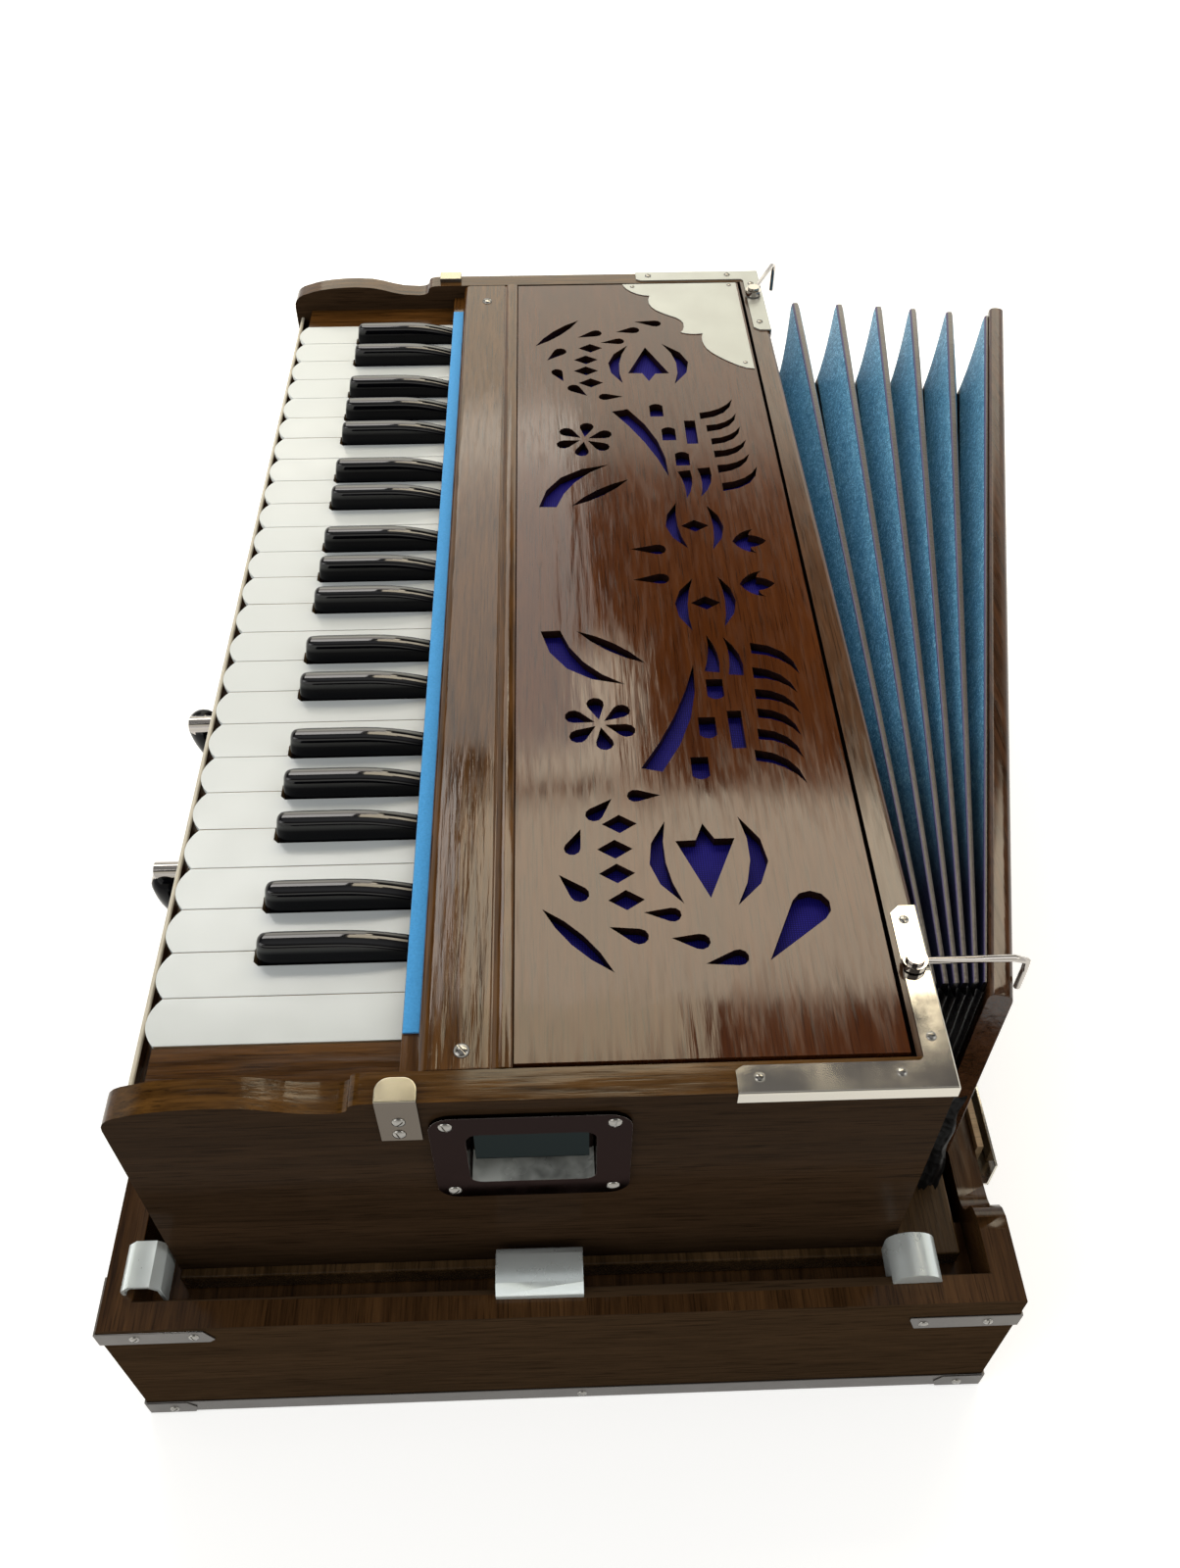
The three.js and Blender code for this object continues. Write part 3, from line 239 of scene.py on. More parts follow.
relief = reckon(grain, "MULTIPLY_ADD", strand["pore"], 0.05, relief)
grain.links.new(relief, result["Height"])


def wood(name, dark, light, turn=(0, 0, 0), figure=1.0, shine=0.08, waves=0.5, specular=0.4):
    made, tree, where = new_finish(name)
    look = add(tree, "Group", {
        "Along": stretched(tree, where, (1, 1, 1), turn), "Dark": (*dark, 1), "Light": (*light, 1),
        "Figure": figure, "Shine": shine}, node_tree=grain).outputs
    surfaced(tree, {"Base Color": look["Color"], "Roughness": look["Roughness"],
                    "Normal": bumped(tree, look["Height"], waves, 0.4 * mm),
                    "Specular IOR Level": specular})
    return made


smear, given, result = new_group(
    "metal_smears", [("Where", "Vector"), ("Least", "Float"), ("Most", "Float")],
    [("Roughness", "Float"), ("Height", "Float")])
cloud = noise(smear, given["Where"], 38, 4, 0.6)
smear.links.new(spread(smear, cloud, 0.35, 0.68, given["Least"], given["Most"]), result["Roughness"])
rubbing = noise(smear, stretched(smear, given["Where"], (90, 700, 90)), 1, 2)
smear.links.new(rubbing, result["Height"])


def metal(name, tint, least, most, rubbed=0.04, metallic=1.0, edge=(1, 1, 1), reflection_mottle=0.0):
    made, tree, where = new_finish(name)
    look = add(tree, "Group", {"Where": where, "Least": least, "Most": most},
               node_tree=smear).outputs
    color = (*tint, 1)
    # The mottle darkens patches of the tint through noise, a painted reflection.
    if reflection_mottle:
        mottle_mask = spread(tree, noise(tree, where, 50, 3), 0.36, 0.60, 0.0, reflection_mottle)
        color = mixed(tree, mottle_mask, color, (*(0.15 * part for part in tint), 1))
    surfaced(tree, {"Base Color": color, "Metallic": metallic, "Specular Tint": (*edge, 1),
                    "Roughness": look["Roughness"],
                    "Normal": bumped(tree, look["Height"], rubbed, 0.2 * mm)})
    return made


def copied(node, name):
    made = new_object(name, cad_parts[node].data.copy())
    made.data.materials.clear()
    only(made)
    bpy.ops.object.mode_set(mode="EDIT")
    bpy.ops.mesh.select_all(action="SELECT")
    bpy.ops.mesh.remove_doubles(threshold=0.01 * mm)
    bpy.ops.mesh.dissolve_limited(angle_limit=math.radians(0.5))
    bpy.ops.object.mode_set(mode="OBJECT")
    return made


def modified(piece, kind, **settings):
    only(piece)
    bpy.ops.object.modifier_add(type=kind)
    for key, value in settings.items():
        setattr(piece.modifiers[-1], key, value)
    bpy.ops.object.modifier_apply(modifier=piece.modifiers[-1].name)


def smoothed(piece, angle):
    only(piece)
    bpy.ops.object.shade_smooth_by_angle(angle=math.radians(angle))


def rounded(piece, smooth):
    smoothed(piece, smooth)
    modified(piece, "WEIGHTED_NORMAL", keep_sharp=True)


def picked(piece, kind, wanted):
    only(piece)
    bpy.ops.object.mode_set(mode="EDIT")
    bpy.ops.mesh.select_mode(type=kind)
    bpy.ops.mesh.select_all(action="DESELECT")
    shape = bmesh.from_edit_mesh(piece.data)
    for part in shape.edges if kind == "EDGE" else shape.faces:
        if wanted(part):
            part.select_set(True)
    bmesh.update_edit_mesh(piece.data)


def bevelled(piece, width, steps, wanted):
    picked(piece, "EDGE", wanted)
    bpy.ops.mesh.bevel(offset=width, segments=steps, affect="EDGES", clamp_overlap=True)
    bpy.ops.object.mode_set(mode="OBJECT")


def eased(piece, width, least=0.0, steps=2, sharp=25, smooth=35):
    def is_corner(edge):
        return (edge.is_manifold and edge.calc_face_angle(0) > math.radians(sharp)
                and edge.calc_length() > least)
    bevelled(piece, width, steps, is_corner)
    rounded(piece, smooth)


def painted(piece, *coats):
    for coat in coats:
        piece.data.materials.append(coat)


def repaint(piece, slot, test):
    for face in piece.data.polygons:
        if test(face.center, face.normal):
            face.material_index = slot


def stands_for(piece, body, *nodes):
    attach(piece, body)
    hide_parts(*nodes)


quarter = math.radians(90)
crosswise = (0, 0, quarter)
tray_half, tray_front, tray_top = 342.5 * mm, 195 * mm, 98.7 * mm
tray_wall, tray_slack = 13 * mm, 1 * mm
guide_drop, guide_from = 11 * mm, 300 * mm
tray = copied("base_tray", "tray_walls")
eased(tray, width=0.9 * mm, least=12 * mm, sharp=50, smooth=50)
painted(tray,
        wood("tray_board", (0.022, 0.010, 0.004), (0.095, 0.045, 0.016), specular=0.25),
        wood("tray_end", (0.036, 0.022, 0.012), (0.086, 0.050, 0.026), crosswise, figure=0.6,
             shine=0.2, specular=0.0),
        metal("aluminium_guide", (0.80, 0.87, 0.87), 0.22, 0.40, 0.12, metallic=0.6))


def on_guide(c, n):
    inside_end = guide_from < abs(c.x) < tray_half - tray_wall - tray_slack
    inside_wall = abs(c.y) < tray_front - tray_wall - tray_slack
    hanging = inside_end and inside_wall and c.z > tray_top - guide_drop
    return hanging or c.z > tray_top + 0.3 * mm


repaint(tray, 1, lambda c, n: abs(c.x) > tray_half - tray_wall - 0.5 * mm)
repaint(tray, 2, on_guide)
stands_for(tray, "case", "base_tray")

# Base board: a flat stained board that lies on the tray's ledgers and carries the case. It is
# plainer and less glossy than the case, because little of it shows.
base = copied("base_board", "base_board_wood")
eased(base, width=1 * mm)
painted(base, wood("base_board_stain", (0.024, 0.013, 0.005), (0.110, 0.062, 0.026), shine=0.2,
                   specular=0.2))
stands_for(base, "case", "base_board")


# Case: dark glossy cheeks with waved arms, front and back boards, and the wooden blocks at the
# ends of the keys, glued up as one body. A line scored inside each cheek parts its grain from the
# back rail's. The front lip has a cream listing, and the hooks' posts are plated.
def scored(piece, place, normal, cut=False):
    only(piece)
    bpy.ops.object.mode_set(mode="EDIT")
    bpy.ops.mesh.select_all(action="SELECT")
    bpy.ops.mesh.bisect(plane_co=[d * mm for d in place], plane_no=normal, clear_inner=cut,
                        use_fill=cut)
    bpy.ops.object.mode_set(mode="OBJECT")


case_half, case_top, case_back = 311 * mm, 226 * mm, 145.4 * mm
cheek_line = 298
case = copied("case_shell", "case_boards")
for side in (-1, 1):
    scored(case, (side * cheek_line, 0, 0), (1, 0, 0))
eased(case, width=0.7 * mm, least=1.2 * mm)

lip_listing, tree, where = new_finish("lip_listing")
cream = mixed(tree, noise(tree, where, 60, 3), (0.50, 0.46, 0.36, 1), (0.72, 0.68, 0.58, 1))
surfaced(tree, {"Base Color": cream, "Roughness": 0.3})
plated = metal("plated_steel", (0.46, 0.43, 0.40), 0.04, 0.14)
cheek_coat, block_coat, post_coat, lip_coat, top_highlight_coat, shade_coat = range(1, 7)
painted(case,
        wood("rail_stain", (0.020, 0.010, 0.005), (0.095, 0.042, 0.018), shine=0.06, specular=0.5),
        wood("cheek_stain", (0.026, 0.015, 0.008), (0.064, 0.036, 0.019), crosswise, figure=0.6,
             shine=0.10, specular=0.004),
        wood("key_block_stain", (0.022, 0.009, 0.002), (0.130, 0.056, 0.014), crosswise,
             shine=0.10, specular=0.12),
        plated, lip_listing,
        wood("cheek_top_stain_and_highlight", (0.018, 0.007, 0.001), (0.135, 0.062, 0.014), crosswise,
             shine=0.04, specular=0.28),
        wood("painted_shade_inside", (0.002, 0.001, 0.001), (0.006, 0.003, 0.002), shine=0.5,
             specular=0.02))
cheek_in = (cheek_line - 0.5) * mm
well_half, well_front, well_back, well_top = 298.4 * mm, -16.6 * mm, 133.3 * mm, 225.3 * mm
block_in, block_out, block_back = 275 * mm, 298.5 * mm, -50 * mm
lip_half, lip_low, lip_high, lip_front, lip_back = (
    297 * mm, 203.6 * mm, 205.2 * mm, -165.6 * mm, -162.6 * mm)
post_reach = 5 * mm
posts = [(257.6 * mm, 139.6 * mm), (-278 * mm, 139.6 * mm)]
repaint(case, cheek_coat, lambda c, n: abs(c.x) > cheek_in)
# The cheeks' tops take a lighter, more golden grain than their sides: partly the wood's tone, partly a
# painted highlight.
repaint(case, top_highlight_coat, lambda c, n: cheek_in < abs(c.x) < case_half - 0.1 * mm and n.z > 0.3)
# The boards inside the well under the panel are painted near black as painted shade, so the gaps round
# the panel read dark.
repaint(case, shade_coat, lambda c, n: abs(c.x) < well_half and well_front < c.y < well_back
        and c.z < well_top)
repaint(case, block_coat, lambda c, n: block_in < abs(c.x) < block_out and c.y < block_back
        and n.z > 0.5)
repaint(case, post_coat, lambda c, n: c.z > case_top + 0.05 * mm and any(
    math.hypot(c.x - x, c.y - y) < post_reach for x, y in posts))
repaint(case, lip_coat, lambda c, n: lip_low < c.z < lip_high and lip_front < c.y < lip_back
        and abs(c.x) < lip_half)
stands_for(case, "case", "case_shell")

# Reed board: plain varnished softwood inside the case, which carries the reeds and the balance
# pins of the keys. It shows only through gaps, so its solid is painted as it is.
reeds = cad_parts["reed_board"]
reeds.data.materials.clear()
painted(reeds, wood("reed_board_wood", (0.30, 0.18, 0.09), (0.50, 0.33, 0.18), shine=0.35))

# White keys: wooden levers with thick glossy cream-white plates glued on. The plates' fronts are
# scalloped and their edges are polished round, and they stand closer together than the levers.
key_white, tree, where = new_finish("white_plate")
surfaced(tree, {
    "Base Color": mixed(tree, noise(tree, where, 9, 3), (0.60, 0.635, 0.64, 1),
                        (0.63, 0.675, 0.69, 1)),
    "Roughness": spread(tree, noise(tree, where, 60, 4), 0.3, 0.7, 0.10, 0.24),
    "Normal": bumped(tree, noise(tree, where, 55, 1), 0.10, 1 * mm),
    "Specular IOR Level": 0.36})
lever_wood = wood("lever_wood", (0.32, 0.20, 0.10), (0.52, 0.36, 0.20), crosswise, shine=0.3)
white_count, plate_foot, plate_back, plate_spread = 25, 207.3 * mm, -52.9 * mm, 0.26 * mm
for number in range(1, white_count + 1):
    node = "white_key_%02d" % number
    key = copied(node, node + "_plate")
    middle = sum(corner.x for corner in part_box(node)) / 2
    for point in key.data.vertices:
        if point.co.z > plate_foot - 0.05 * mm:
            point.co.x += math.copysign(plate_spread, point.co.x - middle)
    eased(key, width=0.25 * mm, least=0.8 * mm)
    painted(key, key_white, lever_wood)
    repaint(key, 1, lambda c, n: c.z < plate_foot - 0.1 * mm or c.y > plate_back)
    stands_for(key, node, node)


# Black keys: polished ebonised blocks with rounded shoulders that sweep down towards the felt, on
# the same wooden levers. One block is shaped and polished, and each key gets a copy of it.
def cube(name, low, high):
    bpy.ops.object.select_all(action="DESELECT")
    middle = [(a + b) / 2 for a, b in zip(low, high)]
    bpy.ops.mesh.primitive_cube_add(size=1, location=middle)
    made = bpy.context.active_object
    made.name = name
    made.scale = [b - a for a, b in zip(low, high)]
    bpy.ops.object.transform_apply(location=True, scale=True)
    return made


def joined(pieces):
    only(pieces[0])
    for piece in pieces[1:]:
        piece.select_set(True)
    if len(pieces) > 1:
        bpy.ops.object.join()
    return pieces[0]


gloss_black, tree, where = new_finish("black_polish")
polish_low, polish_high = 216.5 * mm, 219 * mm
high = add(tree, "SeparateXYZ", {0: where}).outputs["Z"]
surfaced(tree, {
    "Base Color": mixed(tree, noise(tree, where, 40, 3), (0.001, 0.001, 0.002, 1),
                        (0.002, 0.002, 0.003, 1)),
    "Roughness": spread(tree, noise(tree, where, 70, 4), 0.3, 0.7, 0.03, 0.10),
    "Normal": bumped(tree, noise(tree, where, 120, 2), 0.06, 1 * mm),
    "Specular IOR Level": 0.10, "Coat Roughness": 0.06,
    "Coat Weight": spread(tree, high, polish_low, polish_high)})
key_top, foot = 210.3 * mm, 6 * mm
nose, heel = -122.4 * mm, plate_back
shoulder, sweep_end = -90 * mm, -56 * mm
rise, rear_rise = 11.2 * mm, 5 * mm
wide, narrow = 9.5 * mm, 8.6 * mm
crown, crown_half = 0.7 * mm, 3 * mm
nose_lean, nose_reach = 1.8 * mm, 20 * mm
nose_band, nose_set_back, nose_pinch = 2 * mm, 1 * mm, 0.80
block = cube("black_block", (-wide / 2, nose, key_top - foot), (wide / 2, heel, key_top + rise))
slices = {(0, 1, 0): (-118, -112, -95, -88, -82, -76, -70, -64, -58, -54),
          (1, 0, 0): (-1.4, 1.4),
          (0, 0, 1): (key_top / mm - 4, key_top / mm, key_top / mm + 7)}
for way, places in slices.items():
    for place in places:
        scored(block, [place * part for part in way], way)
for point in block.data.vertices:
    up = (point.co.z - key_top) / rise
    if up > 0:
        point.co.x *= 1 + (narrow / wide - 1) * up
        point.co.y += nose_lean * up * max(0, 1 - (point.co.y - nose) / nose_reach)
        sweep = min(max((point.co.y - shoulder) / (sweep_end - shoulder), 0), 1)
        point.co.z = key_top + (rise + (rear_rise - rise) * sweep ** 2) * up
        if up > 0.99 and abs(point.co.x) < crown_half:
            point.co.z += crown
    if point.co.y < nose + nose_band and abs(point.co.x) > crown_half:
        point.co.x *= nose_pinch
        point.co.y += nose_set_back
modified(block, "SUBSURF", levels=3)
bpy.ops.object.shade_smooth()

model = "black_key_09"
lever = copied(model, "lever")
scored(lever, (0, heel / mm - 1, 0), (0, 1, 0), cut=True)
model_x = sum(corner.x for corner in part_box(model)) / 2
lever.data.transform(Matrix.Translation((-model_x, 0, 0)))
for piece in (block, lever):
    painted(piece, gloss_black, lever_wood)
repaint(lever, 1, lambda c, n: True)
block = joined([block, lever])
black_count = 17
for number in range(1, black_count + 1):
    node = "black_key_%02d" % number
    middle = sum(corner.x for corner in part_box(node)) / 2
    key = new_object(node + "_block", block.data.copy())
    key.data.transform(Matrix.Translation((middle, 0, 0)))
    stands_for(key, node, node)
bpy.data.objects.remove(block)

# Top strip: a moulded rosewood rail across the case, which holds the keys down and is screwed at
# both ends, with a bead along its back edge.
strip = copied("top_strip", "top_strip_moulding")
eased(strip, width=0.5 * mm, least=10 * mm, sharp=40)
painted(strip, wood("strip_stain", (0.022, 0.008, 0.002), (0.130, 0.056, 0.014), shine=0.03,
                    waves=1.0, specular=0.36))
stands_for(strip, "case", "top_strip")

# Cut-work panel: a thin veneered board, lacquered over its fine grain, with fretted openings. It
# is set in the rebate behind the top strip, and the sawn edges of the openings are dark.
panel = copied("fret_panel", "cut_work_panel")
cut_half, cut_front, cut_back = 295.6 * mm, -16.2 * mm, 130.8 * mm
eased(panel, width=0.35 * mm, least=0.9 * mm, steps=1)
painted(panel,
        wood("panel_stain", (0.040, 0.010, 0.002), (0.094, 0.027, 0.005), shine=0.04, figure=0.8),
        wood("cut_edge", (0.006, 0.003, 0.002), (0.022, 0.009, 0.004), specular=0.1))
repaint(panel, 1, lambda c, n: abs(n.z) < 0.5 and abs(c.x) < cut_half
        and cut_front < c.y < cut_back)
stands_for(panel, "case", "fret_panel")

# Felt strip: a narrow bright blue listing, glued on the ledge behind the keys to quiet them and
# to close the gap under the top strip.
felt_half, felt_front, felt_back = 277 * mm, -59.6 * mm, -53.1 * mm
felt_low, felt_high = 217.5 * mm, 218.6 * mm
felt = cube("felt_strip", (-felt_half, felt_front, felt_low), (felt_half, felt_back, felt_high))
eased(felt, width=0.35 * mm)
felt_blue, tree, where = new_finish("blue_felt")
fuzz = noise(tree, where, 900, 4, 0.7)
surfaced(tree, {
    "Base Color": mixed(tree, fuzz, (0.028, 0.24, 0.60, 1), (0.105, 0.47, 0.96, 1)),
    "Roughness": 0.95, "Normal": bumped(tree, fuzz, 0.5, 0.6 * mm),
    "Specular IOR Level": 0.15, "Sheen Weight": 0.3})
painted(felt, felt_blue)
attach(felt, "case")


# Cloth under the cut-work: an indigo cotton lining, stretched below the openings and held in the
# rebate by the panel's edge. It ripples slightly.
def grid(name, columns, rows):
    bpy.ops.object.select_all(action="DESELECT")
    bpy.ops.mesh.primitive_grid_add(x_subdivisions=columns, y_subdivisions=rows, size=1)
    made = bpy.context.active_object
    made.name = name
    bpy.ops.object.shade_smooth()
    return made


lining_long, lining_wide = 574 * mm, 145 * mm
lining_y, lining_z = 57.3, 220.8
ripples = [(0.22, 17, 23), (0.12, 7.3, -11)]
lining = grid("indigo_lining", 120, 34)
for point in lining.data.vertices:
    x, y = point.co.x * lining_long / mm, point.co.y * lining_wide / mm + lining_y
    ripple = sum(swell * math.sin(x / along + y / across) for swell, along, across in ripples)
    point.co = (x * mm, y * mm, (lining_z + ripple) * mm)
indigo, tree, where = new_finish("indigo_cloth")
warp, weft = (add(tree, "TexWave", {"Vector": where, "Scale": 300, "Distortion": 0.6},
                  bands_direction=way).outputs["Fac"] for way in ("X", "Y"))
threads = reckon(tree, "MULTIPLY", warp, weft)
surfaced(tree, {
    "Base Color": mixed(tree, threads, (0.006, 0.004, 0.090, 1), (0.024, 0.018, 0.340, 1)),
    "Roughness": 0.6, "Normal": bumped(tree, threads, 0.4, 0.3 * mm), "Specular IOR Level": 0.08})
painted(lining, indigo)
stands_for(lining, "case", "fret_cloth")

# Bellows board: the stained outer board that the player pushes, with a row of air holes bored
# through it. It is hinged at the treble end and its edges are eased.
board = copied("bellows_board", "bellows_board_wood")
eased(board, width=0.6 * mm, least=1.5 * mm)
painted(board, wood("bellows_board_stain", (0.020, 0.009, 0.004), (0.090, 0.038, 0.017),
                    shine=0.07))
stands_for(board, "bellows_board", "bellows_board")

# Bellows folds: six pleats of card covered in crackled teal paper. Each ridge is flat and bound
# with a dull grey strip beside a thin purple line, and the valleys are black leather. No operator
# makes pleats that fan out from a hinge, so the rings are worked out from the fan's angle.
hinge_x, hinge_y = 262 * mm, 170.4 * mm
board_low, board_high, board_end = 88 * mm, 218 * mm, 300 * mm
board_reach, tip_reach = 550.6 * mm, 8 * mm
pleat, inset, card = 38 * mm, 3 * mm, 0.7 * mm
seat, corner = 0.3 * mm, 4 * mm
fan = math.radians(13.5)
leather_from = 247 * mm
ridges = [0.16, 0.35, 0.52, 0.67, 0.83, 1.0]
near_share, tip_curve, inside_share = 0.25, 1.7, 0.7
ridge_near, ridge_far = 1.25 * mm, 2.2 * mm
ridge_rows = [(0.0, 0.0), (0.45, 0.0), (0.85, 0.006), (1.0, 0.022)]
wall_depths = [0.05, 0.1, 0.18, 0.3, 0.45, 0.6, 0.75, 0.9, 1.0]
side_steps, corner_steps = 26, 4
stack = hinge_y - case_back - 2 * seat


def fold_rows():
    made = []
    last = 0.0
    for ridge in ridges:
        valley = (last + ridge) / 2
        made += [(last, depth, off) for off, depth in ridge_rows]
        made += [(last + (valley - last) * depth, depth, 1 - depth) for depth in wall_depths]
        made += [(ridge + (valley - ridge) * depth, depth, depth - 1)
                 for depth in reversed(wall_depths[:-1])]
        made += [(ridge, depth, -off) for off, depth in reversed(ridge_rows)]
        made.pop()
        last = ridge
    made.append((1.0, 0.0, 0.0))
    return made


def fan_width(x):
    return stack + math.tan(fan) * (hinge_x - x)


def fold_ring(share, deep, off, thick):
    depth = pleat * deep
    sunk = pleat * (1 - (1 - deep) ** tip_curve)
    reach = board_reach - inset + tip_reach * (1 - share) - sunk
    far = hinge_x - reach * math.cos(share * fan)
    near = hinge_x - inset - depth * near_share
    low, high = board_low + inset + depth, board_high - inset - depth
    points = []
    for i in range(side_steps + 1):
        x = near + (i / side_steps) * (far + corner - near)
        points.append((x, low, -near_share if i == 0 else 0, 1))
    for i in range(1, corner_steps):
        turn = i / corner_steps * quarter
        points.append((far + corner * (1 - math.sin(turn)), low + corner * (1 - math.cos(turn)),
                       math.sin(turn), math.cos(turn)))
    points.append((far, low + corner, 1, 0))
    points.append((far, (low + high) / 2, 1, 0))
    ring = points + [(x, low + high - z, a, -b) for x, z, a, b in reversed(points[:-1])]
    made = []
    for x, z, inward, up in ring:
        half = fan_width(x) / (2 * len(ridges))
        push = thick * math.hypot(pleat, half) / half
        flat = ridge_near + (ridge_far - ridge_near) * (near - x) / (near - far)
        flat -= inside_share * thick
        y = min(share * fan_width(x) + off * flat, fan_width(x + inward * push))
        made.append((x + inward * push, case_back + seat + max(y, 0), z + up * push))
    return made


paper_coat, binding_coat, line_coat, leather_coat = range(4)
ridge_deep, valley_deep, line_off = 0.03, 0.9, -0.6
rows = fold_rows()
outer = [fold_ring(share, deep, off, 0) for share, deep, off in rows]
inner = [fold_ring(share, deep, off, card) for share, deep, off in rows]
loop = outer + inner[::-1]
ring_size = len(outer[0])
faces, coats = [], []
for i in range(len(loop)):
    after = (i + 1) % len(loop)
    coat = leather_coat
    if i < len(rows) - 1:
        deep, off = ((rows[i][k] + rows[i + 1][k]) / 2 for k in (1, 2))
        if deep < ridge_deep:
            coat = line_coat if off < line_off else binding_coat
        elif deep <= valley_deep:
            coat = paper_coat
    for j in range(ring_size):
        k = (j + 1) % ring_size
        faces.append([row * ring_size + at for row, at in ((i, j), (i, k), (after, k), (after, j))])
        coats.append(leather_coat if loop[i][j][0] > leather_from else coat)
fold_mesh = bpy.data.meshes.new("bellows_pleats")
fold_mesh.from_pydata([point for ring in loop for point in ring], [], faces)
fold_mesh.polygons.foreach_set("material_index", coats)
fold_mesh.validate()
fold_mesh.update()
folds = new_object("bellows_pleats", fold_mesh)
smoothed(folds, 40)

teal, tree, where = new_finish("teal_crackle_paper")
strokes = noise(tree, where, 270, 2, 0.5, 1.6)
apart = reckon(tree, "ABSOLUTE", reckon(tree, "SUBTRACT", strokes, 0.5))
vein = ramp(tree, apart, [(0.0, 1.0), (0.055, 0.0)])
ground = mixed(tree, noise(tree, where, 30, 3), (0.034, 0.162, 0.300, 1), (0.080, 0.280, 0.470, 1))
ground = mixed(tree, vein, ground, (0.360, 0.720, 0.950, 1))
along = add(tree, "SeparateXYZ", {0: where}).outputs["X"]
# Towards the hinge end the paper's colour darkens to navy.
surfaced(tree, {
    "Base Color": mixed(tree, spread(tree, along, 100 * mm, 210 * mm), ground,
                        (0.010, 0.014, 0.050, 1)),
    "Roughness": 0.5, "Normal": bumped(tree, vein, 0.4, 0.5 * mm)})


def leather(name, dark, light, scale, rough, bumps, hinge_darkening=0.0, specular=0.5):
    made, tree, where = new_finish(name)
    cells = add(tree, "TexVoronoi", {"Vector": where, "Scale": scale}).outputs["Distance"]
    tint = mixed(tree, noise(tree, where, scale / 20, 3), (*dark, 1), (*light, 1))
    along = add(tree, "SeparateXYZ", {0: where}).outputs["X"]
    # Towards the hinge end the hide darkens, by up to the given hinge darkening.
    hinge_dark_mask = spread(tree, along, -260 * mm, -120 * mm, 0.0, hinge_darkening)
    surfaced(tree, {"Base Color": mixed(tree, hinge_dark_mask, tint, (0.012, 0.007, 0.008, 1)),
                    "Roughness": rough, "Normal": bumped(tree, cells, bumps, 0.5 * mm),
                    "Specular IOR Level": specular})
    return made


painted(folds, teal,
        leather("ridge_binding", (0.055, 0.046, 0.038), (0.200, 0.180, 0.155), 500, 0.3, 0.3,
                hinge_darkening=0.75),
        leather("purple_line", (0.022, 0.016, 0.080), (0.056, 0.041, 0.145), 400, 0.5, 0.1),
        leather("black_leather", (0.004, 0.004, 0.005), (0.014, 0.013, 0.013), 700, 0.35, 0.5))
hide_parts("bellows_folds")
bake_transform(folds)

# Hooks: plated wire, bent to an eye at one end and a point at the other. One turns on its post at
# each end of the back rail and holds the bellows board when it is closed.
for side in ("near", "far"):
    hook = copied(side + "_hook", side + "_wire_hook")
    smoothed(hook, 50)
    painted(hook, plated)
    stands_for(hook, side + "_hook", side + "_hook")

# Stop knobs: plated spindles out of the front board, each with a black turned drop screwed on.
# They slide out to open a row of reeds.
spindle_z, spindle_reach = 163.3 * mm, 4.45 * mm
for number, spindle_x in ((1, 51.3 * mm), (2, 149.7 * mm)):
    node = "stop_knob_%d" % number
    knob = copied(node, node + "_drop")
    smoothed(knob, 45)
    painted(knob, gloss_black, plated)
    repaint(knob, 1, lambda c, n: math.hypot(c.x - spindle_x, c.z - spindle_z) < spindle_reach)
    stands_for(knob, node, node)

# Carrying handles: pressed plates with a dish, let into the cheeks, each with a flap that swings
# out on pins. The plate is tinted near black, a painted dark reflection; its bevels take brighter
# plated steel, a painted highlight; and the dish floor is pale with dark mottles, painted light
# and reflection.
dark_plate = metal("dark_reflection_plate", (0.021, 0.017, 0.017), 0.06, 0.16, edge=(0.54, 0.50, 0.49))
dish_plate = metal("dish_plate", (0.66, 0.69, 0.66), 0.15, 0.45, 0.12, metallic=0.3, reflection_mottle=0.9)
grip_plate = metal("grip_plate", (0.020, 0.026, 0.026), 0.08, 0.20, edge=(0.5, 0.5, 0.5))
surround_in = 309.5 * mm
for side in ("near", "far"):
    plate = copied(side + "_handle_plate", side + "_handle_surround")
    eased(plate, width=0.6 * mm, least=0.5 * mm)
    painted(plate, dark_plate, dish_plate, plated)
    # Bevel faces on the plate take brighter plated steel as a painted highlight.
    repaint(plate, 2, lambda c, n: abs(c.x) > surround_in and 0.25 < abs(n.x) < 0.95)
    # The dish floor's up-facing faces take the pale mottled metal as painted light and reflection.
    repaint(plate, 1, lambda c, n: abs(c.x) < surround_in and n.z > 0.5)
    stands_for(plate, "case", side + "_handle_plate")
    grip = copied(side + "_handle_grip", side + "_handle_flap")
    eased(grip, width=0.4 * mm, least=1 * mm)
    painted(grip, grip_plate)
    stands_for(grip, side + "_handle_grip", side + "_handle_grip")

# Screws: round slotted steel heads, modelled once and set on the plates that they hold, each
# turned to its own angle. Their places, and all the sheet fittings below, are in millimetres.
head_radius, head_flatness = 3 * mm, 0.5
slot_half, slot_side, slot_low, slot_high = 4 * mm, 0.35 * mm, 0.8 * mm, 2.2 * mm
bpy.ops.object.select_all(action="DESELECT")
bpy.ops.mesh.primitive_uv_sphere_add(segments=28, ring_count=14, radius=head_radius)
head = bpy.context.active_object
scored(head, (0, 0, 0), (0, 0, 1), cut=True)
head.data.transform(Matrix.Diagonal((1, 1, head_flatness, 1)))
slot = cube("screw_slot", (-slot_half, -slot_side, slot_low), (slot_half, slot_side, slot_high))
modified(head, "BOOLEAN", object=slot, operation="DIFFERENCE", solver="EXACT")
bpy.data.objects.remove(slot)
painted(head, metal("screw_steel", (0.30, 0.29, 0.27), 0.12, 0.25))
rounded(head, 35)


